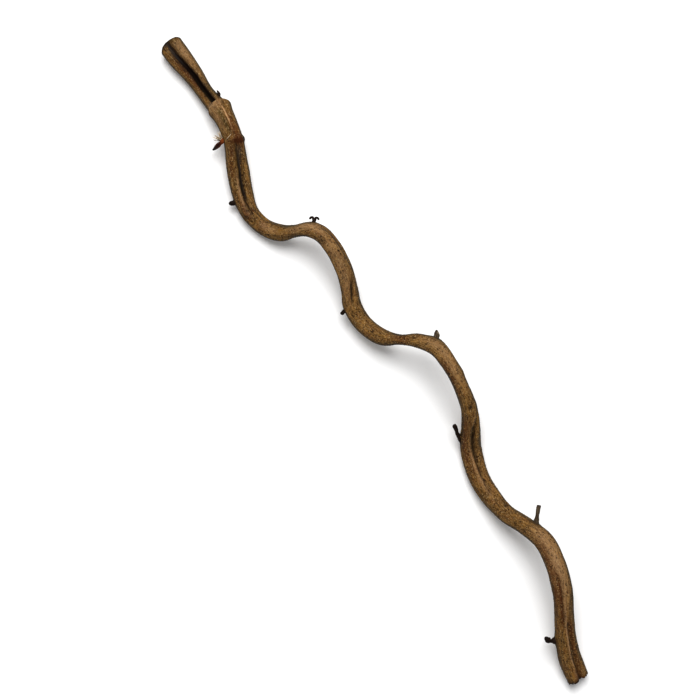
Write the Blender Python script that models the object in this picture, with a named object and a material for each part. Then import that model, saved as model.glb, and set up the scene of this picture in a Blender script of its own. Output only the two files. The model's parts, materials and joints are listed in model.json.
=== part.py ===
"""A dried liana: one length of a twining woody stem, about 38 cm from end to end, lying on a flat surface.

+X runs from the sawn end to the broken end, +Y is the side the upper twigs point to, and +Z is up.
Lengths below are in millimetres and angles in degrees, and MM turns them into metres.
A place on the stem is given by `along`, the length of stem from the sawn end, and by `round`, the
angle about its middle line: 0 on top, 90 on the +Y side, 180 underneath and -90 on the -Y side.
"""

import math

import bpy
import numpy as np

MM = 0.001

# How finely the solids are faceted
RING_GAP = 3.3
STEM_SIDES = 28
TWIG_SIDES = 8
ROUTE_SAMPLES = 4000

# The stem's middle line: name, x, y, height, width across, depth from top to bottom
ROUTE = (
    ("sawn end", -186.9, -8.4, 5.6, 12.2, 11.6),
    ("below the saw cut", -179.5, -7.9, 5.5, 11.9, 11.4),
    ("channelled joint", -169.5, -6.9, 5.0, 10.1, 10.1),
    ("neck of the joint", -157.9, -6.6, 5.7, 8.4, 9.3),
    ("sleeved node", -147.8, -5.5, 8.2, 9.7, 9.7),
    ("second joint", -139.4, -5.7, 10.3, 9.7, 9.6),
    ("ringed node", -130.2, -7.7, 10.6, 10.0, 9.8),
    ("two-strand stretch", -117.6, -13.5, 8.8, 11.0, 9.8),
    ("below the first twig", -106.6, -18.0, 6.2, 10.5, 9.6),
    ("knotty scar", -95.1, -20.3, 4.9, 9.1, 9.4),
    ("first bend on the surface", -85.6, -18.0, 4.5, 9.0, 9.1),
    ("end of the first bend", -79.0, -13.0, 8.0, 8.7, 8.9),
    ("first waist", -75.5, -6.5, 14.0, 6.5, 8.2),
    ("rise to the first crest", -72.6, -1.0, 18.5, 7.4, 8.4),
    ("first crest", -67.3, 3.1, 21.5, 8.4, 8.6),
    ("top of the first crest", -58.4, 4.6, 22.0, 8.5, 8.6),
    ("fall from the first crest", -47.3, 3.6, 18.5, 8.5, 8.7),
    ("side slit", -36.1, 0.1, 13.8, 8.4, 8.8),
    ("third twig", -28.6, -2.9, 10.6, 9.1, 9.0),
    ("second trough", -18.6, -3.1, 9.3, 9.0, 9.0),
    ("end of the second trough", -7.6, 1.5, 12.2, 8.2, 9.1),
    ("second waist", -2.2, 8.0, 17.3, 5.1, 8.3),
    ("rise to the second crest", 3.3, 15.5, 22.8, 7.2, 8.6),
    ("second crest", 10.6, 20.7, 27.0, 8.4, 9.2),
    ("top of the second crest", 21.5, 21.6, 28.4, 8.2, 9.2),
    ("fall from the second crest", 33.0, 20.5, 26.2, 7.8, 8.8),
    ("above the fork", 43.3, 18.5, 20.5, 8.6, 8.8),
    ("start of the strands", 53.6, 13.8, 12.0, 9.7, 9.4),
    ("third trough", 62.9, 8.3, 5.0, 10.8, 9.8),
    ("along the third trough", 75.4, 4.2, 5.0, 10.3, 9.8),
    ("end of the third trough", 87.2, 3.6, 7.2, 9.9, 9.6),
    ("rise to the third crest", 98.7, 5.4, 12.6, 8.5, 9.4),
    ("straight twig", 108.4, 10.1, 19.2, 8.9, 9.6),
    ("third crest", 119.6, 13.6, 25.4, 10.2, 9.8),
    ("past the third crest", 131.5, 12.0, 27.9, 10.2, 9.8),
    ("fall from the third crest", 142.9, 8.4, 26.2, 9.9, 9.6),
    ("red-edged stretch", 154.2, 2.9, 20.5, 9.4, 9.4),
    ("last twig", 165.7, -2.7, 14.0, 10.2, 9.4),
    ("splay", 176.5, -6.5, 8.3, 11.2, 9.6),
    ("broken end", 187.9, -8.5, 4.4, 11.0, 9.4),
)

# The open channel of the first joint: along, round, half-width, depth. The sleeve closes its far end.
CHANNEL = (
    (-4.0, -14, 2.6, 1.8),
    (8.0, -8, 2.3, 2.4),
    (18.0, 1, 1.9, 2.6),
    (29.3, 8, 1.6, 2.5),
    (41.1, 4, 1.5, 2.3),
)

# The other long grooves, with the same four numbers. Each fades to nothing at its ends.
GROOVES = {
    "crease of the second joint": (
        (41.1, 3, 1.0, 0.0),
        (47.5, 0, 1.0, 0.7),
        (53.5, -6, 1.1, 0.8),
        (57.5, -8, 1.0, 0.0),
    ),
    "channel below the ringed node": (
        (58.0, 14, 1.2, 0.6),
        (65.5, 17, 1.4, 2.0),
        (75.5, 15, 1.5, 2.4),
        (85.6, 7, 1.4, 2.2),
        (92.6, 6, 1.1, 1.2),
        (98.6, 8, 1.0, 0.0),
    ),
    "edge groove of the first bend": (
        (89.6, 40, 1.1, 0.0),
        (96.6, 50, 1.2, 1.1),
        (104.6, 60, 1.2, 1.0),
        (112.0, 70, 1.1, 0.0),
    ),
    "edge groove of the first crest": (
        (137.1, 42, 0.9, 0.0),
        (142.2, 55, 1.0, 0.8),
        (153.8, 62, 1.0, 0.8),
        (163.2, 68, 0.9, 0.0),
    ),
    "side slit": (
        (164.9, 28, 0.9, 0.0),
        (169.8, 22, 0.9, 1.1),
        (175.5, 8, 0.9, 0.9),
        (182.1, 2, 0.9, 0.0),
    ),
    "groove between the two strands": (
        (270.9, 76, 1.3, 0.0),
        (275.6, 58, 1.4, 1.2),
        (280.3, 28, 1.5, 2.2),
        (285.5, 11, 1.5, 2.4),
        (296.3, 12, 1.3, 1.8),
        (307.4, 22, 1.1, 1.4),
        (316.5, 18, 1.0, 0.9),
        (326.5, 10, 1.0, 0.0),
    ),
    "red groove of the fall": (
        (372.8, -24, 0.9, 0.0),
        (379.0, -17, 1.1, 1.0),
        (389.8, -18, 1.0, 0.9),
        (402.3, -15, 1.0, 0.8),
        (409.5, -8, 0.9, 0.0),
    ),
    "groove to the broken end": (
        (399.3, 18, 0.9, 0.0),
        (405.4, 20, 1.1, 1.2),
        (415.7, 22, 1.1, 1.2),
        (428.7, 16, 1.2, 1.6),
        (441.9, 6, 1.4, 2.0),
    ),
    "underside groove of the first half": (
        (63.5, 196, 1.4, 0.0),
        (85.6, 187, 1.6, 1.3),
        (112.0, 208, 1.4, 0.9),
        (147.8, 200, 1.5, 1.4),
        (179.6, 183, 1.4, 1.0),
        (216.0, 210, 1.3, 0.0),
    ),
    "underside groove of the second half": (
        (223.0, 217, 1.3, 0.0),
        (249.9, 240, 1.5, 1.3),
        (284.3, 192, 1.5, 0.9),
        (331.1, 186, 1.4, 1.1),
        (375.5, 158, 1.5, 1.3),
        (422.2, 162, 1.3, 0.0),
    ),
}

# The grain's angle along the stem. The mesh lines follow it, so the grooves stay crisp.
GRAIN = (
    (0.0, -12),
    (18.0, 1),
    (29.3, 8),
    (41.1, 2),
    (53.5, -6),
    (65.5, 17),
    (75.5, 15),
    (85.6, 7),
    (92.6, 7),
    (104.6, 21),
    (112.0, 28),
    (126.7, 14),
    (137.1, 4),
    (142.2, 16),
    (153.8, 23),
    (164.9, 28),
    (175.5, 8),
    (182.1, 2),
    (230.2, 48),
    (270.9, 76),
    (275.6, 58),
    (280.3, 28),
    (285.5, 11),
    (307.4, 22),
    (326.5, 10),
    (372.8, -24),
    (379.0, -17),
    (402.3, -15),
    (415.7, -16),
    (441.9, -30),
)

# The sleeved node: the next joint's lip stands proud, most on the +Y side, and its rim leans forward on top
SLEEVE_ALONG = 39.7
SLEEVE_PROUD = 1.6
SLEEVE_PROUD_SIDE = 0.7
SLEEVE_FADE = 4.2
SLEEVE_LEAN = 2.9
SLEEVE_LEAN_ROUND = 0
SLEEVE_RAMP = 0.9
SLEEVE_REACH = 7.0

# The ringed node: a rough collar over the +Y half, ending in a lump
RING_ALONG = 58.5
RING_HALF_WIDTH = 1.3
RING_PROUD = 0.65
RING_ROUND = 48
RING_SPREAD = 62
LUMP_ROUND = 98
LUMP_SPREAD = 20
LUMP_PROUD = 0.7

# Swellings where the twigs leave the stem: along, round, half-length, half-angle, height
COLLARS = (
    (88.4, -92, 2.4, 24, 0.35),
    (134.4, 88, 2.6, 26, 0.55),
    (179.2, -92, 3.6, 26, 0.30),
    (232.8, 86, 2.6, 26, 0.50),
    (250.8, 88, 2.2, 26, 0.35),
    (289.1, -92, 4.0, 26, 0.45),
    (352.1, 80, 2.0, 26, 0.35),
    (414.6, -88, 3.4, 28, 0.85),
)

# How far the two ends reach past the stem's end rings, by the angle round them. The saw cut is near upright.
SAW_CUT = (
    (-180, 0.4),
    (-135, -0.4),
    (-90, -1.0),
    (-60, 0.1),
    (-40, 1.5),
    (-20, 2.3),
    (0, 2.5),
    (45, 1.7),
    (90, 0.0),
    (135, 0.3),
    (180, 0.4),
)
BREAK = (
    (-180, 0.0),
    (-120, 0.0),
    (-70, 0.0),
    (-20, 0.2),
    (4, -1.1),
    (24, -0.6),
    (70, -1.3),
    (120, -0.9),
    (180, 0.0),
)
PITH_HOLLOW = 1.2

# Twig stumps fused to the stem. Each path point is: ahead along the stem, out to the side, up, radius.
# The first numbers say where the path starts, along and round, and how deep inside the bark.
TWIGS = {
    "bud at the sleeved node": (
        (35.5, 70, 0.9),
        (
            (0.0, 0.0, 0.0, 0.95),
            (-0.7, 1.1, 0.3, 0.85),
            (-1.6, 1.5, 0.5, 0.55),
            (-2.8, 1.7, 0.6, 0.12),
        ),
    ),
    "first twig": (
        (88.0, -88, 1.4),
        (
            (0.0, 0.0, 0.0, 1.4),
            (0.0, -2.0, 0.0, 1.35),
            (-0.2, -3.2, 0.1, 1.1),
            (-0.4, -4.1, 0.1, 0.5),
        ),
    ),
    "left curl": (
        (134.4, 86, 0.9),
        (
            (0.0, 0.0, 0.0, 0.9),
            (-0.2, 1.5, 0.1, 0.65),
            (-1.0, 2.7, 0.3, 0.55),
            (-2.0, 2.4, 0.3, 0.52),
            (-2.5, 1.5, 0.2, 0.45),
        ),
    ),
    "right curl": (
        (134.7, 84, 0.9),
        (
            (0.0, 0.0, 0.0, 0.9),
            (0.1, 1.6, 0.0, 0.65),
            (0.2, 2.9, -0.2, 0.55),
            (1.2, 3.0, -0.3, 0.55),
            (2.1, 2.3, -0.4, 0.5),
        ),
    ),
    "third twig": (
        (182.4, -90, 1.2),
        (
            (0.0, 0.0, 0.0, 1.1),
            (-0.3, -1.7, 0.0, 0.95),
            (0.2, -2.7, 0.1, 0.9),
            (0.5, -3.3, 0.1, 0.45),
        ),
    ),
    "frayed twig": (
        (232.8, 84, 1.4),
        (
            (0.0, 0.0, 0.0, 1.6),
            (-0.5, 1.9, 0.2, 1.3),
            (-1.2, 3.2, 0.4, 1.0),
            (-1.9, 4.3, 0.6, 0.45),
        ),
    ),
    "leaning black twig": (
        (292.2, -88, 1.2),
        (
            (0.0, 0.0, 0.0, 1.3),
            (-2.2, -1.2, 0.2, 1.15),
            (-5.0, -2.3, 0.5, 0.95),
            (-7.8, -3.2, 0.9, 0.95),
            (-10.0, -3.8, 1.1, 1.15),
            (-11.0, -4.0, 1.2, 0.7),
        ),
    ),
    "straight cut twig": (
        (352.0, 76, 1.6),
        (
            (0.0, 0.0, 0.0, 2.1),
            (-0.6, 1.8, 0.3, 1.35),
            (-1.4, 3.8, 0.7, 0.95),
            (-2.5, 6.2, 1.1, 0.95),
            (-3.8, 9.0, 1.6, 1.05),
        ),
    ),
    "knobby last twig": (
        (414.6, -88, 1.4),
        (
            (0.0, 0.0, 0.0, 1.9),
            (-0.1, -2.0, 0.1, 1.3),
            (-0.3, -3.0, 0.2, 0.95),
            (-0.9, -4.1, 0.3, 1.35),
            (-2.3, -5.1, 0.3, 1.2),
            (-3.1, -5.9, 0.3, 0.7),
        ),
    ),
}

# The dried leaf base: a flat curled scrap on the -Y side of the ringed node
LEAF_START = (56.5, -74)
LEAF_GAP = 0.5
LEAF_PATH = (
    (0.0, 0.0, 0.0, 1.15),
    (0.9, -2.0, -0.1, 0.95),
    (1.8, -4.0, -0.4, 1.05),
    (2.7, -5.9, -0.9, 0.75),
    (3.1, -7.0, -1.3, 0.3),
)
LEAF_FLATNESS = 0.62


def smooth_through(knots, values, at):
    """Values on a smooth curve that passes through every knot, read at the places in `at`."""
    knots = np.asarray(knots, float)
    values = np.asarray(values, float)
    slopes = np.gradient(values, knots)
    left = np.clip(np.searchsorted(knots, at, side="right") - 1, 0, len(knots) - 2)
    gap = knots[left + 1] - knots[left]
    share = (at - knots[left]) / gap
    start = (1 + 2 * share) * (1 - share) ** 2 * values[left]
    end = share**2 * (3 - 2 * share) * values[left + 1]
    lean = share * (1 - share) * gap * ((1 - share) * slopes[left] - share * slopes[left + 1])
    return start + end + lean


def unit(vectors):
    return vectors / np.linalg.norm(vectors, axis=-1, keepdims=True)


class Stem:
    """The stem's middle line, its size along the way, and the place of any point of its bark."""

    def __init__(self):
        points = np.array([row[1:4] for row in ROUTE])
        sizes = np.array([row[4:6] for row in ROUTE])
        chords = np.linalg.norm(np.diff(points, axis=0), axis=1)
        knots = np.concatenate([[0.0], np.cumsum(chords)])
        fine = np.linspace(0.0, knots[-1], ROUTE_SAMPLES)
        self.line = np.stack([smooth_through(knots, axis, fine) for axis in points.T], axis=1)
        self.sizes = np.stack([smooth_through(knots, axis, fine) for axis in sizes.T], axis=1)
        steps = np.linalg.norm(np.diff(self.line, axis=0), axis=1)
        self.lengths = np.concatenate([[0.0], np.cumsum(steps)])
        self.length = float(self.lengths[-1])
        self.ahead = unit(np.gradient(self.line, self.lengths, axis=0))

    def read(self, table, along):
        """A row of the table for each place along the stem. Past an end it is the end's own row."""
        return np.stack([np.interp(along, self.lengths, column) for column in table.T], axis=-1)

    def axes(self, along):
        """Three unit directions at each place: ahead, up and to the +Y side."""
        ahead = unit(self.read(self.ahead, along))
        up = unit(np.array([0.0, 0.0, 1.0]) - ahead[..., 2:3] * ahead)
        return ahead, up, np.cross(up, ahead)

    def middle(self, along):
        """The middle line, carried straight on past its two ends."""
        inside = np.clip(along, 0.0, self.length)
        return self.read(self.line, inside) + (along - inside)[..., None] * self.axes(inside)[0]

    def bark(self, along, around):
        """Points of the bark, for arrays of places along the stem and angles round it."""
        ahead, up, side = self.axes(np.clip(along, 0.0, self.length))
        across, deep = np.moveaxis(self.read(self.sizes, along), -1, 0) / 2
        mean = (across + deep) / 2
        scale = 1 + relief(along, around, mean) / mean
        turn = np.radians(around)
        out = (across * np.sin(turn) * scale)[..., None] * side
        out = out + (deep * np.cos(turn) * scale)[..., None] * up
        return self.middle(along) + out


def turned(around, middle):
    """The angle from `middle` to `around`, from -180 to 180."""
    return (around - middle + 180) % 360 - 180


def bump(distance, reach):
    return np.exp(-((distance / reach) ** 2))


def groove_depth(rows, along, around, mean):
    places, angles, halves, depths = np.array(rows, float).T
    angle = np.interp(along, places, angles)
    half = np.interp(along, places, halves)
    depth = np.interp(along, places, depths, left=0.0, right=0.0)
    return depth * bump(np.radians(turned(around, angle)) * mean, half)


def sleeve_edge(around):
    """Where the sleeve's rim crosses each line along the bark: it leans forward on top."""
    return SLEEVE_ALONG - SLEEVE_LEAN * np.cos(np.radians(around - SLEEVE_LEAN_ROUND))


def sleeve_rise(past):
    """0 before the sleeve's rim, 1 behind it."""
    return np.clip(past / SLEEVE_RAMP, 0.0, 1.0)


def sleeve_height(along, around):
    past = along - sleeve_edge(around)
    proud = SLEEVE_PROUD + SLEEVE_PROUD_SIDE * np.sin(np.radians(around))
    return proud * sleeve_rise(past) * np.exp(-np.maximum(past, 0.0) / SLEEVE_FADE)


def ring_height(along, around):
    collar = bump(along - RING_ALONG, RING_HALF_WIDTH)
    half = RING_PROUD * bump(turned(around, RING_ROUND), RING_SPREAD)
    lump = LUMP_PROUD * bump(turned(around, LUMP_ROUND), LUMP_SPREAD)
    return collar * (half + lump)


def relief(along, around, mean):
    """How far the bark stands out of the plain oval stem, at each place."""
    height = sleeve_height(along, around) + ring_height(along, around)
    open_part = 1 - sleeve_rise(along - sleeve_edge(around))
    height = height - open_part * groove_depth(CHANNEL, along, around, mean)
    for rows in GROOVES.values():
        height = height - groove_depth(rows, along, around, mean)
    for place, angle, length, spread, proud in COLLARS:
        height = height + proud * bump(along - place, length) * bump(turned(around, angle), spread)
    return height


def ring_places(stem):
    """A grid of places along and round the stem. Rings near the sleeve lean with its rim."""
    count = round(stem.length / RING_GAP)
    rings = np.linspace(0.0, stem.length, count + 1)
    rim = SLEEVE_ALONG + np.array([-0.1, SLEEVE_RAMP + 0.1])
    rings = np.sort(np.concatenate([rings[np.abs(rings - rim.mean()) > RING_GAP / 2], rim]))
    angles = 360 * np.arange(STEM_SIDES) / STEM_SIDES
    along, around = np.meshgrid(rings, angles, indexing="ij")
    places, grain = np.array(GRAIN, float).T
    around = turned(around, -np.interp(along, places, grain))
    lean = sleeve_edge(around) - SLEEVE_ALONG
    along = along + lean * bump(along - SLEEVE_ALONG, SLEEVE_REACH)
    along[0] -= np.interp(around[0], *np.array(SAW_CUT, float).T)
    along[-1] += np.interp(around[-1], *np.array(BREAK, float).T)
    return along, around


def closed_tube(rings, start, end):
    """Points and faces of a tube through rings of points, closed by a middle point at each end."""
    count, sides = rings.shape[:2]
    points = [*rings.reshape(-1, 3), start, end]
    first, last = count * sides, count * sides + 1
    faces = []
    for side in range(sides):
        after = (side + 1) % sides
        for ring in range(count - 1):
            low, high = ring * sides, (ring + 1) * sides
            faces.append((low + side, high + side, high + after, low + after))
        top = (count - 1) * sides
        faces.append((first, side, after))
        faces.append((last, top + after, top + side))
    return points, faces


def new_object(name, points, faces, material=None):
    """A mesh object from points in millimetres."""
    mesh = bpy.data.meshes.new(name)
    mesh.from_pydata([tuple(float(value) * MM for value in point) for point in points], [], faces)
    mesh.shade_smooth()
    if material:
        mesh.materials.append(material)
    made = bpy.data.objects.new(name, mesh)
    bpy.context.scene.collection.objects.link(made)
    return made


def bark_material(name, colour, roughness):
    material = bpy.data.materials.new(name)
    material.use_nodes = True
    shader = material.node_tree.nodes["Principled BSDF"]
    shader.inputs["Base Color"].default_value = (*colour, 1.0)
    shader.inputs["Roughness"].default_value = roughness
    shader.inputs["Metallic"].default_value = 0.0
    return material


def stem_solid(stem, material):
    along, around = ring_places(stem)
    rings = stem.bark(along, around)
    start = rings[0].mean(axis=0)
    end = rings[-1].mean(axis=0) - PITH_HOLLOW * stem.axes(np.array(stem.length))[0]
    return new_object("stem", *closed_tube(rings, start, end), material)


def local_path(stem, along, around, inside, path):
    """A path given by steps ahead, out to the side and up, as points in millimetres, with its radii."""
    ahead, up, side = stem.axes(np.array(along))
    skin = stem.bark(np.array(along), np.array(float(around)))
    inward = unit(stem.middle(np.array(along)) - skin)
    steps = np.array(path)
    points = skin + inside * inward + steps[:, :1] * ahead + steps[:, 1:2] * side + steps[:, 2:3] * up
    return points, steps[:, 3]


def tapered_tube(name, points, radii, flatness, material=None):
    """A tube of changing radius along a path, its oval section flattened by `flatness`."""
    headings = unit(np.gradient(points, axis=0))
    flat = unit(np.cross(headings, np.array([0.0, 0.0, 1.0])))
    other = np.cross(flat, headings)
    turns = 2 * math.pi * np.arange(TWIG_SIDES) / TWIG_SIDES
    rings = [
        point + radius * (np.cos(turns)[:, None] * across + flatness * np.sin(turns)[:, None] * rise)
        for point, radius, across, rise in zip(points, radii, flat, other)
    ]
    return new_object(name, *closed_tube(np.array(rings), points[0], points[-1]), material)


def fuse(target, piece):
    """Joins the piece to the target as one solid. The piece itself is only a guide."""
    piece.hide_render = True
    piece.display_type = "WIRE"
    union = target.modifiers.new("fused " + piece.name, "BOOLEAN")
    union.operation = "UNION"
    union.solver = "EXACT"
    union.object = piece


def add_twigs(stem, solid):
    for name, ((along, around, inside), path) in TWIGS.items():
        points, radii = local_path(stem, along, around, inside, path)
        fuse(solid, tapered_tube(name, points, radii, 1.0))


def add_leaf_base(stem, material):
    along, around = LEAF_START
    points, radii = local_path(stem, along, around, -LEAF_GAP, LEAF_PATH)
    tapered_tube("dried_leaf_base", points, radii, LEAF_FLATNESS, material)


def clear_scene():
    for old in list(bpy.data.objects):
        bpy.data.objects.remove(old, do_unlink=True)


def stand_on_floor(stem):
    """Lowers or lifts the whole route so that the stem's lowest point is at height 0."""
    along, around = ring_places(stem)
    stem.line[:, 2] -= stem.bark(along, around)[..., 2].min()


def main():
    clear_scene()
    stem = Stem()
    stand_on_floor(stem)
    bark = bark_material("dried bark", (0.165, 0.088, 0.036), 0.72)
    scrap = bark_material("dried leaf", (0.085, 0.026, 0.012), 0.8)
    solid = stem_solid(stem, bark)
    add_twigs(stem, solid)
    add_leaf_base(stem, scrap)
    bpy.context.view_layer.update()


main()
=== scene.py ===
"""The look of a dried liana: one twining woody stem with its twig stubs, a dried leaf base and bristles.

Lengths are in millimetres and angles in degrees, and MM turns them into metres. A place on the stem is given
by `along`, the length of stem from the sawn end, and `round`, the angle about its middle line: 0 on top,
90 on the +Y side, 180 underneath and -90 on the -Y side.
"""

import json
import math

import bpy
import numpy as np
from mathutils import Matrix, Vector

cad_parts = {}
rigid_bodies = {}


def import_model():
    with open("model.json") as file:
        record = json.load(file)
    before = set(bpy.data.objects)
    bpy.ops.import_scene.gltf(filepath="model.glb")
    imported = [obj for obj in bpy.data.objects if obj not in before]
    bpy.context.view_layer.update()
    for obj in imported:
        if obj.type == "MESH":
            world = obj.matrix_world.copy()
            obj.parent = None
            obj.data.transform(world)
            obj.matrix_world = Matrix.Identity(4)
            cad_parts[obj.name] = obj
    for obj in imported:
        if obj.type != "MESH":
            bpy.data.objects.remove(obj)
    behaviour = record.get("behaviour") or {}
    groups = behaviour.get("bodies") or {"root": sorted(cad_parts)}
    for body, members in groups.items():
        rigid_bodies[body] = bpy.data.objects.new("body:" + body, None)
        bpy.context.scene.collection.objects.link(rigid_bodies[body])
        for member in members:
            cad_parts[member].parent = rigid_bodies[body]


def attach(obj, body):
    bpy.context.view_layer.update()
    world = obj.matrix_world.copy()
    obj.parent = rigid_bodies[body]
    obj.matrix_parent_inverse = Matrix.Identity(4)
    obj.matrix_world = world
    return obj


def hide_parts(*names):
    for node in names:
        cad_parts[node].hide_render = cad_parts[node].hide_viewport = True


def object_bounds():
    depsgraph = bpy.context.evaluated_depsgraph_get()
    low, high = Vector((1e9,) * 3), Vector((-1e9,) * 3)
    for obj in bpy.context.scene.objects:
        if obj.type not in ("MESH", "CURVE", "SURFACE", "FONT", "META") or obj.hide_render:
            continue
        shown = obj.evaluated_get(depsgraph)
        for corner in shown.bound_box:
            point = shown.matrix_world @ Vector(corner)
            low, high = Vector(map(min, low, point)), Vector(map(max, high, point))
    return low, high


for startup_object in list(bpy.data.objects):
    bpy.data.objects.remove(startup_object, do_unlink=True)

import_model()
cad_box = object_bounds()

MM = 0.001

# The random effects start from these numbers. SEED itself is for the bark's relief and the tufts.
SEED = 11
RIM_SEED = SEED + 1
FACE_SEED = SEED + 2
TWIG_SEED = SEED + 10
LEAF_SEED = SEED + 31
WART_SEED = SEED + 50

# How finely the shown surfaces are made
ROUTE_SAMPLES = 4000
STEM_STEP = 0.64
STEM_SIDES = 126
CAP_RINGS = 7
TWIG_RINGS = 34
TWIG_SIDES = 20
LEAF_RINGS = 46
LEAF_SIDES = 40
CROSS_FIBRE_RINGS = 16
CROSS_FIBRE_SIDES = 6
BRISTLE_RINGS = 6
BRISTLE_SIDES = 5
PATCH_SIDES = 12

# The stem's middle line: name, x, y, height, width across, depth from top to bottom
ROUTE = (
    ("sawn end", -186.9, -8.4, 5.6, 12.2, 11.6),
    ("below the saw cut", -179.5, -7.9, 5.5, 11.9, 11.4),
    ("channelled joint", -169.5, -6.9, 5.0, 10.1, 10.1),
    ("neck of the joint", -157.9, -6.6, 5.7, 8.4, 9.3),
    ("sleeved node", -147.8, -5.5, 8.2, 9.7, 9.7),
    ("second joint", -139.4, -5.7, 10.3, 9.7, 9.6),
    ("ringed node", -130.2, -7.7, 10.6, 10.0, 9.8),
    ("two-strand stretch", -117.6, -13.5, 8.8, 11.0, 9.8),
    ("below the first twig", -106.6, -18.0, 6.2, 10.5, 9.6),
    ("knotty scar", -95.1, -20.3, 4.9, 9.1, 9.4),
    ("first bend on the surface", -85.6, -18.0, 4.5, 9.0, 9.1),
    ("end of the first bend", -79.0, -13.0, 8.0, 8.7, 8.9),
    ("first waist", -75.5, -6.5, 14.0, 6.5, 8.2),
    ("rise to the first crest", -72.6, -1.0, 18.5, 7.4, 8.4),
    ("first crest", -67.3, 3.1, 21.5, 8.4, 8.6),
    ("top of the first crest", -58.4, 4.6, 22.0, 8.5, 8.6),
    ("fall from the first crest", -47.3, 3.6, 18.5, 8.5, 8.7),
    ("side slit", -36.1, 0.1, 13.8, 8.4, 8.8),
    ("third twig", -28.6, -2.9, 10.6, 9.1, 9.0),
    ("second trough", -18.6, -3.1, 9.3, 9.0, 9.0),
    ("end of the second trough", -7.6, 1.5, 12.2, 8.2, 9.1),
    ("second waist", -2.2, 8.0, 17.3, 5.1, 8.3),
    ("rise to the second crest", 3.3, 15.5, 22.8, 7.2, 8.6),
    ("second crest", 10.6, 20.7, 27.0, 8.4, 9.2),
    ("top of the second crest", 21.5, 21.6, 28.4, 8.2, 9.2),
    ("fall from the second crest", 33.0, 20.5, 26.2, 7.8, 8.8),
    ("above the fork", 43.3, 18.5, 20.5, 8.6, 8.8),
    ("start of the strands", 53.6, 13.8, 12.0, 9.7, 9.4),
    ("third trough", 62.9, 8.3, 5.0, 10.8, 9.8),
    ("along the third trough", 75.4, 4.2, 5.0, 10.3, 9.8),
    ("end of the third trough", 87.2, 3.6, 7.2, 9.9, 9.6),
    ("rise to the third crest", 98.7, 5.4, 12.6, 8.5, 9.4),
    ("straight twig", 108.4, 10.1, 19.2, 8.9, 9.6),
    ("third crest", 119.6, 13.6, 25.4, 10.2, 9.8),
    ("past the third crest", 131.5, 12.0, 27.9, 10.2, 9.8),
    ("fall from the third crest", 142.9, 8.4, 26.2, 9.9, 9.6),
    ("red-edged stretch", 154.2, 2.9, 20.5, 9.4, 9.4),
    ("last twig", 165.7, -2.7, 14.0, 10.2, 9.4),
    ("splay", 176.5, -6.5, 8.3, 11.2, 9.6),
    ("broken end", 187.9, -8.5, 4.4, 11.0, 9.4),
)

# The open channel of the first joint: along, round, half-width, depth. The sleeve closes its far end.
CHANNEL = (
    (-4.0, -14, 2.6, 1.8), (8.0, -8, 2.3, 2.4), (18.0, 1, 1.9, 2.6), (29.3, 8, 1.6, 2.5),
    (41.1, 4, 1.5, 2.3),
)

# The other long grooves, with the same four numbers. Each fades to nothing at its ends.
GROOVES = {
    "crease of the second joint": (
        (41.1, 3, 1.0, 0.0), (47.5, 0, 1.0, 0.7), (53.5, -6, 1.1, 0.8), (57.5, -8, 1.0, 0.0),
    ),
    "channel below the ringed node": (
        (58.0, 14, 1.2, 0.6), (65.5, 17, 1.4, 2.0), (75.5, 15, 1.5, 2.4), (85.6, 7, 1.4, 2.2),
        (92.6, 6, 1.1, 1.2), (98.6, 8, 1.0, 0.0),
    ),
    "edge groove of the first bend": (
        (89.6, 40, 1.1, 0.0), (96.6, 50, 1.2, 1.1), (104.6, 60, 1.2, 1.0), (112.0, 70, 1.1, 0.0),
    ),
    "edge groove of the first crest": (
        (137.1, 42, 0.9, 0.0), (142.2, 55, 1.0, 0.8), (153.8, 62, 1.0, 0.8), (163.2, 68, 0.9, 0.0),
    ),
    "side slit": (
        (164.9, 28, 0.9, 0.0), (169.8, 22, 0.9, 1.1), (175.5, 8, 0.9, 0.9), (182.1, 2, 0.9, 0.0),
    ),
    "groove between the two strands": (
        (270.9, 76, 1.3, 0.0), (275.6, 58, 1.4, 1.2), (280.3, 28, 1.5, 2.2), (285.5, 11, 1.5, 2.4),
        (296.3, 12, 1.3, 1.8), (307.4, 22, 1.1, 1.4), (316.5, 18, 1.0, 0.9), (326.5, 10, 1.0, 0.0),
    ),
    "red groove of the fall": (
        (372.8, -24, 0.9, 0.0), (379.0, -17, 1.1, 1.0), (389.8, -18, 1.0, 0.9), (402.3, -15, 1.0, 0.8),
        (409.5, -8, 0.9, 0.0),
    ),
    "groove to the broken end": (
        (399.3, 18, 0.9, 0.0), (405.4, 20, 1.1, 1.2), (415.7, 22, 1.1, 1.2), (428.7, 16, 1.2, 1.6),
        (441.9, 6, 1.4, 2.0),
    ),
    "underside groove of the first half": (
        (63.5, 196, 1.4, 0.0), (85.6, 187, 1.6, 1.3), (112.0, 208, 1.4, 0.9), (147.8, 200, 1.5, 1.4),
        (179.6, 183, 1.4, 1.0), (216.0, 210, 1.3, 0.0),
    ),
    "underside groove of the second half": (
        (223.0, 217, 1.3, 0.0), (249.9, 240, 1.5, 1.3), (284.3, 192, 1.5, 0.9), (331.1, 186, 1.4, 1.1),
        (375.5, 158, 1.5, 1.3), (422.2, 162, 1.3, 0.0),
    ),
}

# The grain's angle along the stem. The mesh lines follow it, so the grooves stay crisp.
GRAIN = (
    (0.0, -12), (18.0, 1), (29.3, 8), (41.1, 2), (53.5, -6), (65.5, 17), (75.5, 15), (85.6, 7), (92.6, 7),
    (104.6, 21), (112.0, 28), (126.7, 14), (137.1, 4), (142.2, 16), (153.8, 23), (164.9, 28), (175.5, 8),
    (182.1, 2), (230.2, 48), (270.9, 76), (275.6, 58), (280.3, 28), (285.5, 11), (307.4, 22), (326.5, 10),
    (372.8, -24), (379.0, -17), (402.3, -15), (415.7, -16), (441.9, -30),
)

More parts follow.
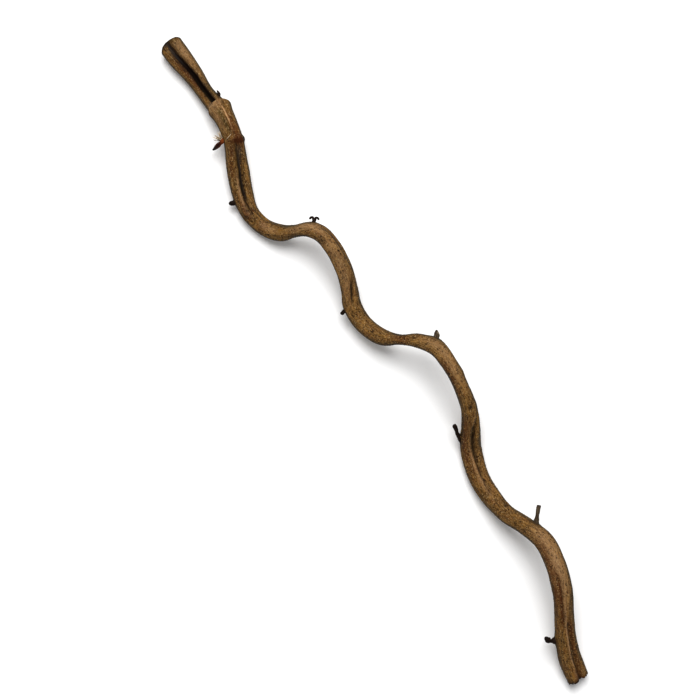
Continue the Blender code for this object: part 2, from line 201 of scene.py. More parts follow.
# The sleeved node: the next joint's lip stands proud, most on the +Y side, and its rim leans forward on top
SLEEVE_ALONG = 39.7
SLEEVE_PROUD = 1.6
SLEEVE_PROUD_SIDE = 0.7
SLEEVE_FADE = 4.2
SLEEVE_LEAN = 2.9
SLEEVE_LEAN_ROUND = 0
SLEEVE_RAMP = 0.9
SLEEVE_REACH = 7.0

# The mesh has these rings at the sleeve's rim, from SLEEVE_ALONG on, in place of the even ones near them
RIM_RINGS = (-0.15, 0.0, 0.25, 0.5, 0.75, 0.95)
RIM_MIDDLE = 0.4
RIM_CLEAR = 0.7

# The ringed node: a rough collar over the +Y half, ending in a lump
RING_ALONG = 58.5
RING_HALF_WIDTH = 1.3
RING_PROUD = 0.65
RING_ROUND = 48
RING_SPREAD = 62
LUMP_ROUND = 98
LUMP_SPREAD = 20
LUMP_PROUD = 0.7

# Swellings where the twigs leave the stem: along, round, half-length, half-angle, height
COLLARS = (
    (88.4, -92, 2.4, 24, 0.35), (134.4, 88, 2.6, 26, 0.55), (179.2, -92, 3.6, 26, 0.30),
    (232.8, 86, 2.6, 26, 0.50), (250.8, 88, 2.2, 26, 0.35), (289.1, -92, 4.0, 26, 0.45),
    (352.1, 80, 2.0, 26, 0.35), (414.6, -88, 3.4, 28, 0.85),
)

# How far the two ends reach past the stem's end rings, by the angle round them. The saw cut is near upright.
SAW_CUT = (
    (-180, 0.4), (-135, -0.4), (-90, -1.0), (-60, 0.1), (-40, 1.5), (-20, 2.3), (0, 2.5), (45, 1.7),
    (90, 0.0), (135, 0.3), (180, 0.4),
)
BREAK = (
    (-180, 0.0), (-120, 0.0), (-70, 0.0), (-20, 0.2), (4, -1.1), (24, -0.6), (70, -1.3), (120, -0.9),
    (180, 0.0),
)

# The rings are shifted towards the shape of an end over this much of the stem
CUT_REACH = 8.0
BREAK_REACH = 6.0

# The faces of the two ends: faint rings of saw marks on one, and a torn face with a hollow pith on the other
SAW_MARKS = 0.12
SAW_MARK_TURNS = 9
PITH_HOLLOW = 1.2
PITH_STEEPNESS = 0.6

# Twig stubs fused to the stem. Each path point is: ahead along the stem, out to the side, up, radius.
# The first numbers say where the path starts, along and round, and how deep inside the bark.
TWIGS = {
    "bud at the sleeved node": (
        (35.5, 70, 0.9),
        (
            (0.0, 0.0, 0.0, 0.95), (-0.7, 1.1, 0.3, 0.85), (-1.6, 1.5, 0.5, 0.55), (-2.8, 1.7, 0.6, 0.12),
        ),
    ),
    "first twig": (
        (88.0, -88, 1.4),
        (
            (0.0, 0.0, 0.0, 1.4), (0.0, -2.0, 0.0, 1.35), (-0.2, -3.2, 0.1, 1.1), (-0.4, -4.1, 0.1, 0.5),
        ),
    ),
    "left curl": (
        (134.4, 86, 0.9),
        (
            (0.0, 0.0, 0.0, 0.9), (-0.2, 1.5, 0.1, 0.65), (-1.0, 2.7, 0.3, 0.55), (-2.0, 2.4, 0.3, 0.52),
            (-2.5, 1.5, 0.2, 0.45),
        ),
    ),
    "right curl": (
        (134.7, 84, 0.9),
        (
            (0.0, 0.0, 0.0, 0.9), (0.1, 1.6, 0.0, 0.65), (0.2, 2.9, -0.2, 0.55), (1.2, 3.0, -0.3, 0.55),
            (2.1, 2.3, -0.4, 0.5),
        ),
    ),
    "third twig": (
        (182.4, -90, 1.2),
        (
            (0.0, 0.0, 0.0, 1.1), (-0.3, -1.7, 0.0, 0.95), (0.2, -2.7, 0.1, 0.9), (0.5, -3.3, 0.1, 0.45),
        ),
    ),
    "frayed twig": (
        (232.8, 84, 1.4),
        (
            (0.0, 0.0, 0.0, 1.6), (-0.5, 1.9, 0.2, 1.3), (-1.2, 3.2, 0.4, 1.0), (-1.9, 4.3, 0.6, 0.45),
        ),
    ),
    "leaning black twig": (
        (292.2, -88, 1.2),
        (
            (0.0, 0.0, 0.0, 1.3), (-2.2, -1.2, 0.2, 1.15), (-5.0, -2.3, 0.5, 0.95), (-7.8, -3.2, 0.9, 0.95),
            (-10.0, -3.8, 1.1, 1.15), (-11.0, -4.0, 1.2, 0.7),
        ),
    ),
    "straight cut twig": (
        (352.0, 76, 1.6),
        (
            (0.0, 0.0, 0.0, 2.1), (-0.6, 1.8, 0.3, 1.35), (-1.4, 3.8, 0.7, 0.95), (-2.5, 6.2, 1.1, 0.95),
            (-3.8, 9.0, 1.6, 1.05),
        ),
    ),
    "knobby last twig": (
        (414.6, -88, 1.4),
        (
            (0.0, 0.0, 0.0, 1.9), (-0.1, -2.0, 0.1, 1.3), (-0.3, -3.0, 0.2, 0.95), (-0.9, -4.1, 0.3, 1.35),
            (-2.3, -5.1, 0.3, 1.2), (-3.1, -5.9, 0.3, 0.7),
        ),
    ),
}

# The twig stubs: the name of each piece, how knobby it is, how round its tip is, and its bark
TWIG_PIECES = {
    "bud at the sleeved node": ("node_bud", 0.05, 0.75, "black twig bark"),
    "first twig": ("first_twig", 0.15, 0.5, "black twig bark"),
    "left curl": ("left_curl", 0.1, 0.75, "black twig bark"),
    "right curl": ("right_curl", 0.1, 0.75, "black twig bark"),
    "third twig": ("third_twig", 0.3, 0.75, "black twig bark"),
    "frayed twig": ("frayed_twig", 0.25, 0.75, "grey twig bark"),
    "leaning black twig": ("leaning_twig", 0.14, 0.5, "black twig bark"),
    "straight cut twig": ("straight_twig", 0.1, 0.2, "grey twig bark"),
    "knobby last twig": ("knobby_twig", 0.35, 0.75, "black twig bark"),
}

# Each twig takes its grain from another place, this far on for each step of its seed
TWIG_GRAIN_SHIFT = 20

# The mask of a twig's foot is gone at 1 / FOOT_FADE of its length. The mask of its cut tip begins CUT_TIP
# before the end and is full CUT_TIP_FADE further on.
FOOT_FADE = 1.6
CUT_TIP = 0.8
CUT_TIP_FADE = 0.5

# A tube's rings crowd towards its tip by this power, and its rounded tip keeps this share of its section
TIP_CROWDING = 1.3
TIP_LEAST = 0.02

# The dried leaf base: a flat curled scrap on the -Y side of the ringed node, rooted inside the bark
LEAF_START = (56.5, -74)
LEAF_ROOT = 0.5
LEAF_PATH = (
    (0.0, 0.0, 0.0, 1.15), (0.9, -2.0, -0.1, 0.95), (1.8, -4.0, -0.4, 1.05), (2.7, -5.9, -0.9, 0.75),
    (3.1, -7.0, -1.3, 0.3),
)
LEAF_FLATNESS = 0.62
LEAF_ROUND_TIP = 0.6

# The leaf base's slit: the angle round it, the half-angle, the depth as a share, where it starts and deepens
LEAF_SLIT_ROUND = 100
LEAF_SLIT_SPREAD = 26
LEAF_SLIT_DEPTH = 0.62
LEAF_SLIT_START = 2.0
LEAF_SLIT_FADE = 1.5

# Its tip turns grey from this share of its length on. Its root is orange up to this length from the stem.
LEAF_GREY_START = 0.55
LEAF_GREY_FADE = 0.3
LEAF_ORANGE_END = 2.6
LEAF_ORANGE_FADE = 1.6

# Relief as layers of smooth noise: length of a cell, cells round the stem, height. The bark's ridges twist by
# RIDGE_TWIST degrees for each millimetre. On twigs and the leaf base the height is a share of the radius.
BARK_LAYERS = (
    (26.0, 6, 0.26), (11.0, 14, 0.15), (7.0, 30, 0.085), (2.4, 42, 0.05),
)
RIDGE_TWIST = 0.35
CRUMB_LAYERS = ((0.9, 44, 1.0), (1.6, 20, 1.0))
RING_CRUMBS = 0.32
TORN_RIM_LAYERS = ((1.0, 40, 0.55), (1.0, 90, 0.35))
TORN_FACE_LAYERS = ((1.0, 30, 0.5),)
SAWN_FACE_LAYERS = ((1.0, 26, 0.05),)
TWIG_LAYERS = ((1.6, 9, 0.12), (0.5, 14, 0.07))
TWIG_KNOB_CELLS = (1.1, 3)
LEAF_LAYERS = ((2.2, 9, 0.16), (0.7, 20, 0.08))

# Where the bark is smoother or rougher than elsewhere: along, share of the relief
ROUGHNESS_ALONG = (
    (0.0, 0.35), (34.6, 0.3), (41.1, 0.35), (54.5, 0.5), (59.5, 1.0), (87.6, 1.0), (99.6, 1.4),
    (112.0, 0.9), (134.7, 0.8), (166.5, 0.9), (208.5, 1.0), (229.4, 0.8), (273.1, 1.1), (342.7, 1.1),
    (380.3, 0.9), (438.9, 1.2),
)

# Round scars with a raised rim and a pit: along, round, radius, rim height, pit depth. The rim is this wide,
# and the pit's width is this share of the radius.
SCARS = (
    (93.6, -12, 2.1, 0.42, 0.5), (98.6, -30, 1.5, 0.3, 0.3), (142.7, -30, 1.4, 0.3, 0.45),
    (332.6, 60, 1.2, 0.2, 0.3),
)
SCAR_RIM_WIDTH = 0.55
SCAR_PIT = 0.5

# How dark a scar's pit and outline are. The pit's shade and the outline lie at these shares of its radius.
SCAR_PIT_DARKNESS = 0.75
SCAR_PIT_SHADE = 0.4
SCAR_OUTLINE_DARKNESS = 0.65
SCAR_OUTLINE = 1.25
SCAR_OUTLINE_WIDTH = 0.3

# The dark ring of bark round a twig's foot is this much wider than the foot
FOOT_SHADE = 0.7

# How strongly the grooves are darkened with painted shade, deeper grooves more: along, share. At a share of 1
# a groove this deep is fully dark.
GROOVE_SHADE_ALONG = (
    (-5.0, 0.5), (4.0, 0.55), (14.0, 0.7), (24.0, 1.0), (41.0, 1.1), (43.0, 0.35), (57.0, 0.35),
    (64.0, 0.4), (71.0, 0.42), (88.0, 0.45), (97.0, 0.4), (130.0, 0.35), (160.0, 0.3), (176.0, 0.45),
    (268.0, 0.3), (284.0, 0.3), (296.0, 0.35), (316.0, 0.35), (370.0, 0.25), (412.0, 0.35), (428.0, 0.4),
    (437.0, 0.15), (442.0, 0.05),
)
DARKEST_DEPTH = 1.9

# Bands of colour that follow the stem, named by where they lie. Each row: along, round, half-width, strength.
BANDS = {
    "film": {
        "channel at the saw cut": (
            (-5.0, -18, 2.0, 0.1), (3.0, -18, 1.3, 0.55), (8.0, -14, 1.0, 0.45), (13.0, -8, 0.8, 0.0),
        ),
        "groove below the ringed node": (
            (59.8, 22, 1.0, 0.0), (62.5, 24, 1.2, 0.55), (68.5, 22, 0.9, 0.6), (74.5, 18, 0.5, 0.5),
            (84.6, 15, 0.4, 0.45), (94.6, 14, 0.4, 0.0),
        ),
        "foot of the sleeve": (
            (35.8, -24, 2.4, 0.0), (37.0, -24, 2.8, 0.35), (39.6, -20, 2.0, 0.0),
        ),
        "edge groove of the first crest": (
            (138.7, 52, 1.0, 0.0), (144.1, 58, 1.1, 0.5), (155.8, 61, 1.1, 0.5), (163.2, 66, 0.9, 0.0),
        ),
        "+Y flank of the third trough": (
            (281.6, 62, 2.0, 0.0), (287.9, 62, 2.2, 0.4), (299.4, 52, 1.6, 0.2), (309.5, 46, 1.2, 0.0),
        ),
    },
    "red": {
        "groove of the last fall": (
            (370.8, -26, 0.9, 0.0), (377.5, -18, 1.3, 0.9), (389.8, -20, 1.2, 1.0), (402.3, -17, 1.2, 0.9),
            (410.5, -9, 0.9, 0.0),
        ),
        "flank of the last groove": (
            (397.3, 24, 1.4, 0.0), (405.4, 30, 2.0, 0.9), (415.7, 32, 1.8, 0.7), (428.7, 28, 1.4, 0.5),
            (438.9, 22, 1.2, 0.2),
        ),
        "notch of the break": (
            (427.5, 8, 0.9, 0.0), (433.5, 5, 1.8, 0.9), (443.0, 2, 3.0, 1.0),
        ),
        "beside the knotty scar": (
            (86.0, -20, 0.6, 0.0), (90.5, -22, 0.9, 0.8), (96.0, -24, 1.2, 0.7), (101.0, -20, 0.8, 0.0),
        ),
        "flank of the channel": (
            (6.0, -34, 2.0, 0.0), (12.0, -34, 1.6, 0.7), (21.2, -22, 1.5, 0.9), (30.6, -24, 1.3, 0.4),
            (35.6, -40, 1.3, 0.0),
        ),
        "dot at the sleeve's rim": (
            (38.4, -76, 0.7, 0.0), (40.0, -76, 0.9, 1.0), (41.6, -76, 0.7, 0.0),
        ),
        "line behind the sleeve": (
            (45.5, 30, 0.5, 0.0), (48.0, 27, 0.6, 0.9), (53.0, 14, 1.0, 0.7), (56.5, 12, 1.4, 0.3),
            (58.0, 12, 1.0, 0.0),
        ),
        "patch at the ring": (
            (45.3, 34, 1.4, 0.0), (51.5, 36, 2.2, 0.6), (56.5, 38, 3.4, 0.9), (60.5, 44, 3.6, 0.5),
            (63.5, 44, 3.0, 0.0),
        ),
        "line past the ring": (
            (58.5, -14, 0.9, 0.0), (62.5, -17, 1.0, 0.8), (67.5, -24, 0.9, 0.5), (72.5, -30, 1.1, 0.8),
            (77.5, -32, 0.8, 0.0),
        ),
        "first bend": (
            (99.6, 8, 2.0, 0.0), (104.6, 8, 2.6, 0.45), (109.9, 8, 2.0, 0.0),
        ),
        "patch at the second waist": (
            (210.7, 30, 4.0, 0.0), (215.6, 34, 5.0, 0.8), (218.7, 22, 4.0, 0.7), (222.6, 20, 3.0, 0.0),
        ),
        "fall from the second crest": (
            (239.3, -34, 1.6, 0.0), (245.0, -40, 1.9, 0.7), (251.8, -56, 2.1, 0.8), (259.3, -64, 1.9, 0.7),
            (268.1, -66, 1.5, 0.0),
        ),
        "flank of the third trough": (
            (272.2, -62, 2.2, 0.0), (278.2, -58, 2.8, 0.8), (291.5, -44, 2.8, 0.8), (301.4, -34, 2.3, 0.6),
            (315.5, -28, 1.6, 0.0),
        ),
        "flank of the third crest": (
            (355.6, -44, 2.4, 0.0), (363.3, -46, 2.8, 0.7), (376.8, -50, 2.8, 0.7), (391.2, -56, 2.6, 0.7),
            (404.9, -50, 2.0, 0.0),
        ),
    },
    "olive": {
        "neck of the first joint": (
            (22.1, 52, 1.6, 0.0), (28.2, 50, 2.1, 0.8), (33.6, 48, 2.0, 0.6), (37.8, 46, 1.5, 0.0),
        ),
        "line of the second joint": (
            (41.1, -8, 0.9, 0.0), (43.2, -8, 1.1, 0.8), (51.5, -10, 1.1, 0.8), (57.5, -12, 1.0, 0.0),
        ),
        "edge of the channel at the saw cut": (
            (-5.0, 20, 2.6, 0.5), (2.0, 24, 2.4, 0.4), (7.0, 26, 2.0, 0.0),
        ),
    },
    # Peach streaks are painted highlight: a glint along a fibre of the second joint and along the ridge to
    # the broken end
    "peach glint": {
        "fibre of the second joint": (
            (38.8, 24, 0.2, 0.0), (40.2, 21, 0.22, 0.5), (43.4, 23, 0.2, 0.75), (46.0, 20, 0.26, 0.9),
            (48.0, 19, 0.28, 0.9), (50.5, 16, 0.2, 0.5), (53.5, 18, 0.2, 0.0),
        ),
        "ridge to the broken end": (
            (402.9, 3, 0.35, 0.0), (414.0, 6, 0.3, 0.22), (428.2, 3, 0.35, 0.26), (438.4, -6, 0.35, 0.15),
        ),
    },
    # Pale bands: partly pale bark, and partly painted highlight where the tops of the crests and ridges face
    # the light
    "pale": {
        "lip of the sleeve": (
            (36.2, -20, 4.6, 0.0), (37.4, -22, 5.0, 0.9), (41.4, -30, 4.6, 0.35), (45.4, -34, 3.6, 0.0),
        ),
        "strand of the third trough": (
            (271.0, 40, 0.7, 0.0), (277.0, 22, 0.8, 0.6), (283.5, 0, 0.7, 0.8), (291.0, -7, 0.7, 0.7),
            (302.0, -4, 0.7, 0.8), (312.0, 4, 0.8, 0.5), (322.0, 2, 0.8, 0.0),
        ),
        "rise to the first crest": (
            (119.0, 20, 2.0, 0.0), (126.0, 20, 2.4, 0.5), (133.0, 34, 3.0, 0.8), (139.0, 20, 2.6, 0.6),
            (146.0, 10, 2.0, 0.0),
        ),
        "first bend": (
            (100.0, 4, 1.5, 0.0), (105.0, 2, 1.8, 0.7), (112.0, 0, 1.8, 0.5), (118.0, 0, 1.4, 0.0),
        ),
        "ridge to the knotty scar": (
            (70.0, -6, 0.5, 0.0), (77.0, -8, 0.6, 0.7), (86.0, -12, 0.6, 1.0), (93.0, -14, 0.9, 0.9),
            (99.0, -10, 0.9, 0.0),
        ),
        "end of the third trough": (
            (301.4, 0, 1.1, 0.0), (313.5, 5, 1.2, 0.7), (328.6, 6, 1.0, 0.0),
        ),
        "ridge to the last groove": (
            (372.0, -2, 0.9, 0.0), (380.0, 0, 0.8, 0.6), (402.9, 3, 0.55, 0.9), (414.0, 6, 0.5, 1.0),
            (428.2, 3, 0.55, 1.0), (437.8, -6, 0.7, 0.6),
        ),
        "top of the third crest": (
            (349.9, 12, 3.6, 0.0), (359.4, 10, 4.0, 0.7), (376.8, 4, 4.0, 0.8), (387.4, 0, 3.0, 0.5),
            (398.8, 0, 2.5, 0.0),
        ),
        "top and fall of the first crest": (
            (137.1, 0, 3.0, 0.0), (147.8, -8, 3.4, 0.5), (166.5, -14, 3.2, 0.5), (183.1, -6, 3.0, 0.0),
        ),
        "top of the second crest": (
            (223.4, 6, 2.6, 0.0), (233.9, 14, 3.0, 0.5), (248.9, 10, 3.0, 0.5), (263.3, 0, 2.4, 0.0),
        ),
        "flank of the first two joints": (
            (0.0, 30, 2.4, 0.8), (9.0, 34, 2.4, 0.7), (17.0, 36, 2.0, 0.2), (30.3, 40, 1.8, 0.2),
            (45.3, -34, 2.6, 0.5), (55.5, -34, 2.4, 0.0),
        ),
    },
    # Dark bands in the slits, the notch of the break and the gap between the strands are painted shade in
    # these recesses
    "dark": {
        "flank of the first waist": (
            (122.2, -58, 1.2, 0.0), (127.5, -60, 1.5, 0.8), (131.6, -72, 1.5, 0.7), (137.1, -80, 1.0, 0.0),
        ),
        "gap between the strands": (
            (272.9, 70, 1.6, 0.0), (278.2, 56, 2.0, 0.2), (281.8, 28, 1.3, 0.25), (286.5, 13, 0.6, 0.6),
            (296.9, 12, 0.5, 0.7), (309.4, 22, 0.5, 0.5), (318.0, 16, 0.4, 0.0),
        ),
        "flank of the third crest": (
            (366.3, 80, 1.6, 0.0), (377.7, 84, 1.8, 0.6), (391.2, 76, 1.6, 0.6), (404.9, 72, 1.4, 0.0),
        ),
        "side slit": (
            (163.9, 36, 0.9, 0.0), (167.3, 28, 1.0, 0.5), (171.3, 15, 0.8, 0.9), (175.1, 8, 0.6, 0.7),
            (180.2, 4, 0.4, 0.0),
        ),
        "notch of the break": (
            (434.0, 4, 0.8, 0.0), (438.0, 2, 1.4, 0.6), (443.0, 0, 2.2, 0.85),
        ),
        "slit below the ringed node": (
            (57.6, 6, 2.4, 0.0), (60.6, 8, 2.6, 0.5), (65.5, 12, 2.0, 0.45), (70.5, 16, 0.9, 0.6),
            (79.6, 10, 0.8, 0.85), (86.6, 3, 0.6, 0.7), (95.6, 6, 0.5, 0.0),
        ),
    },
}

# Small dark spots: along, round, radius, strength
SPOTS = (
    (199.1, 6, 0.9, 0.9), (248.9, -40, 0.8, 0.8), (251.3, -64, 0.9, 0.8), (255.7, -54, 0.9, 0.7),
    (268.1, 6, 1.1, 0.9), (329.6, 84, 1.2, 0.9), (333.7, 36, 1.0, 0.8), (344.5, -20, 0.9, 0.7),
    (350.9, -30, 1.0, 0.8), (143.1, -32, 0.8, 0.9), (151.7, -20, 0.7, 0.5), (160.7, -30, 0.7, 0.5),
)

# The dark edges of the saw cut and of the break: how wide, and how dark by the angle round them
CUT_EDGE_WIDTH = 0.95
BREAK_EDGE_WIDTH = 1.8
CUT_EDGE_DARKNESS = (
    (-180, 0.8), (-60, 0.95), (-10, 0.9), (25, 0.4), (60, 0.35), (180, 0.8),
)
BREAK_EDGE_DARKNESS = (
    (-180, 0.6), (-60, 0.7), (-40, 1.0), (-10, 1.0), (12, 0.7), (40, 0.15), (90, 0.3), (180, 0.6),
)

# Tufts of bristles and torn fibres. Where: along, round, how far inside the bark. Facing: ahead, to the side,
# up. Then the tuft's radius, how many, shortest and longest, half-thickness, spread, and the surface.
TUFTS = {
    "pale_bristles": (
        (56.6, -88, -0.4), (-0.85, -0.42, 0.25), 0.8, 22, 3.4, 5.4, 0.19, 0.5, "straw-coloured fibre",
    ),
    "dark_bristles": (
        (56.6, -88, -0.3), (-0.7, -0.6, 0.25), 0.8, 18, 2.6, 5.0, 0.17, 0.7, "dark bristle",
    ),
    "ring_bristles": (
        (57.6, -30, 0.2), (-0.3, 0.6, 0.5), 1.2, 9, 0.8, 2.2, 0.1, 0.6, "dark bristle",
    ),
    "frayed_fibres": (
        (232.6, 84, -1.2), (-0.35, 0.7, 0.3), 0.9, 14, 0.9, 2.0, 0.12, 0.45, "straw-coloured fibre",
    ),
    "last_twig_fibres": (
        (413.0, -88, -3.4), (0.4, -0.8, 0.2), 0.5, 7, 0.5, 1.2, 0.09, 0.5, "dark bristle",
    ),
}

# A bristle's tip bends over by this share of its length and is this share of its thickness
BRISTLE_BEND = 0.22
BRISTLE_TIP = 0.25

# A direction that no tuft faces, so that it gives each patch a side
PATCH_SLANT = (0.31, 0.17, 0.94)

# Small raised specks of the bark: how many to a square metre, smallest and largest radius, flatness, surface
WARTS = {
    "dark_warts": (260000.0, 0.13, 0.34, 0.4, "dark wart"),
    "pale_warts": (230000.0, 0.11, 0.30, 0.45, "pale wart"),
}

# The specks grow in number from this far past the ring, over this much of the stem. They are never fewer than
# this share, except where the bark is dark.
WARTS_PAST_RING = 3.0
WARTS_FADE = 6.0
WARTS_LEAST = 0.15

# The inputs of the two trees that grow small pieces
WART_INPUTS = {
    "Bark": "Geometry",
    "How many": "Float",
    "Seed": "Int",
    "Smallest": "Float",
    "Largest": "Float",
    "Flatness": "Float",
    "Material": "Material",
}
BRISTLE_INPUTS = {
    "Patch": "Geometry",
    "How many": "Float",
    "Seed": "Int",
    "Shortest": "Float",
    "Longest": "Float",
    "Thickness": "Float",
    "Spread": "Float",
    "Material": "Material",
}

# A pale fibre lies across the stem at the ringed node: along, round, height over the bark, radius
CROSS_FIBRE = (
    (56.9, -40, 0.1, 0.1), (56.2, -24, 0.35, 0.1), (55.5, -10, 0.4, 0.09), (54.8, 2, 0.15, 0.05),
)

# How near the shown surface may come to the solid's box before it is eased back
BOX_EASE = 0.12

# Colours by name, as linear shares of red, green and blue
COLOURS = {
    "tan": (0.2, 0.102, 0.022),
    "light tan": (0.345, 0.197, 0.062),
    "mid brown": (0.074, 0.031, 0.0055),
    "dark brown": (0.02, 0.008, 0.0018),
    # groove: near black, laid as painted shade in the grooves and slits, and as the colour of dark spots,
    # scars, twig feet, ring pits and the leaf's fold
    "groove": (0.0065, 0.0026, 0.0016),
    "red-brown": (0.08, 0.022, 0.0042),
    "olive": (0.06, 0.038, 0.006),
    "film": (0.04, 0.037, 0.035),
    # The peach glint is painted highlight
    "peach glint": (0.68, 0.4, 0.2),
    "edge shade": (0.02, 0.0165, 0.006),
    "straw": (0.74, 0.6, 0.42),
    # A pale tint that is partly pale bark and partly painted highlight
    "pale bark and highlight tan": (0.33, 0.2, 0.1),
    "dark speck": (0.02, 0.0075, 0.0026),
    "pale speck": (0.4, 0.28, 0.14),
    "ring": (0.06, 0.0175, 0.0036),
    "twig black": (0.0045, 0.003, 0.0024),
    "twig brown": (0.022, 0.011, 0.006),
    "bristle brown": (0.06, 0.032, 0.016),
    "twig grey": (0.12, 0.09, 0.055),
    "sawn tan": (0.125, 0.082, 0.032),
    "sawn dark": (0.026, 0.013, 0.006),
    "pith red": (0.075, 0.023, 0.014),
    "pith dark": (0.011, 0.004, 0.0025),
    "leaf red": (0.105, 0.024, 0.008),
    "leaf orange": (0.19, 0.05, 0.01),
    "leaf dark": (0.015, 0.0055, 0.0035),
    "leaf grey": (0.045, 0.041, 0.037),
}

# The grain's masks. Each is noise with these cells to a millimetre along and across the grain, this detail,
# roughness and shift. It is 0 below the first of the last two numbers and 1 above the second.
GRAIN_MASKS = {
    "Patches": (0.09, 0.3, 2.0, 0.5, 3.0, 0.4, 0.6),
    "Mottling": (0.24, 0.66, 2.0, 0.6, 43.0, 0.46, 0.62),
    "Streaks": (0.13, 0.9, 3.0, 0.55, 11.0, 0.42, 0.6),
    "Fibres": (0.32, 3.6, 3.0, 0.6, 5.0, 0.38, 0.64),
    "Dark specks": (0.6, 1.35, 2.0, 0.65, 19.0, 0.55, 0.67),
    "Pale specks": (1.3, 2.4, 1.0, 0.5, 31.0, 0.58, 0.7),
}

# The grain's height: raised fibres, and pits that deepen as the noise of the dark specks rises in this range
FIBRE_HEIGHT = 0.7
PIT_RANGE = (0.5, 0.75)
PIT_DEPTH = 0.5

# The tints of the bark in the order they are laid on: masks of the grain, bands, and specks of the grain.
# Where a row has a third value, it is the tint's strength.
GRAIN_TINTS = (
    ("Mottling", "red-brown", 0.8),
    ("Streaks", "dark brown", 0.82),
    ("Fibres", "light tan", 0.62),
)
# The pale bands lay partly painted highlight, and the peach bands painted highlight
BAND_TINTS = (
    ("pale", "pale bark and highlight tan"),
    ("olive", "olive"),
    ("red", "red-brown"),
    ("peach glint", "peach glint"),
)
SPECK_TINTS = (
    ("Dark specks", "dark speck", 0.7),
    ("Pale specks", "pale speck", 0.68),
)

# How far the fibres vary the strength of the bands, and the streaks that of the film
BAND_FIBRES = (0.75, 1.1)
FILM_STREAKS = (0.5, 1.0)

# The fibres fray the edges of the grooves' painted shade and of the ring by this much, in full where a
# groove's mask is over
# FRAYING_FROM. The tints of the two, and of the ring's pits, rise from nothing over these ranges of a mask.
FRAYING = 0.12
FRAYING_FROM = 0.2
GROOVE_SHADE_RANGE = (0.05, 0.62)
RING_RANGE = (0.05, 0.6)
RING_PIT_RANGE = (0.3, 0.8)

# Bark that turns away from the eye takes on the edge shade: from and to this slant, from and to this strength
EDGE_SHADE = (0.32, 0.8, 0.0, 0.92)

# How rough the bark is to light, how high its fine bumps are and how much surfaces shine
BARK_ROUGHNESS = 0.62
BARK_BUMP = 0.12
SPECULAR = 0.08

# Surfaces with the grain: its low and high colours, roughness, height of the bumps, and a tint for each mask
GRAINED_SURFACES = {
    "black twig bark": ("twig black", "twig brown", 0.6, 0.12, (("foot", "twig brown"),)),
    "grey twig bark": ("twig brown", "twig grey", 0.65, 0.12, (("cut", "twig brown"),)),
    "sawn wood": ("sawn dark", "sawn tan", 0.75, 0.1, ()),
    "broken pith": ("pith dark", "pith red", 0.85, 0.1, ()),
    "dried leaf base": (
        "leaf dark", "leaf red", 0.7, 0.12,
        (("root", "leaf orange"), ("tip", "leaf grey"), ("fold", "groove")),
    ),
}

# Surfaces of one colour: roughness, colour
PLAIN_SURFACES = {
    "straw-coloured fibre": (0.6, "straw"),
    "dark bristle": (0.6, "bristle brown"),
    "pale wart": (0.7, "light tan"),
    "dark wart": (0.7, "dark brown"),
}

# The studio: a blown-out pale floor, one large soft light and an even fill. The floor, the light's distance
# and size, and the camera's far limit are in metres.
FLOOR_HALF = 3.0
FLOOR_COLOUR = (0.9, 0.9, 0.9)
FLOOR_ROUGHNESS = 0.9
FLOOR_SPECULAR = 0.1
LIGHT_TOWARDS = (-0.412, 0.266, 1.0)
LIGHT_DISTANCE = 2.5
LIGHT_SIZE = 1.55
LIGHT_POWER = 66.0
FILL_COLOUR = (1.0, 1.0, 1.0)
FILL_STRENGTH = 0.46
PICTURE_GAMMA = 0.85
CAMERA_SENSOR = 36.0
CAMERA_LENS = 123.4
CAMERA_FAR = 10.0
CAMERA_TURN = 57.17
CAMERA_PLACE = (-11.35, -15.55, 1200.0)


def smooth_through(knots, values, at):
    """Values on a smooth curve that passes through every knot, read at the places in `at`."""
    knots = np.asarray(knots, float)
    values = np.asarray(values, float)
    slopes = np.gradient(values, knots)
    left = np.clip(np.searchsorted(knots, at, side="right") - 1, 0, len(knots) - 2)
    gap = knots[left + 1] - knots[left]
    share = (at - knots[left]) / gap
    start = (1 + 2 * share) * (1 - share) ** 2 * values[left]
    end = share**2 * (3 - 2 * share) * values[left + 1]
    lean = share * (1 - share) * gap * ((1 - share) * slopes[left] - share * slopes[left + 1])
    return start + end + lean


def unit(vectors):
    return vectors / np.linalg.norm(vectors, axis=-1, keepdims=True)


def lookup(table, at):
    """The second column of a two-column table, read at places between its rows."""
    return np.interp(at, *np.array(table, float).T)


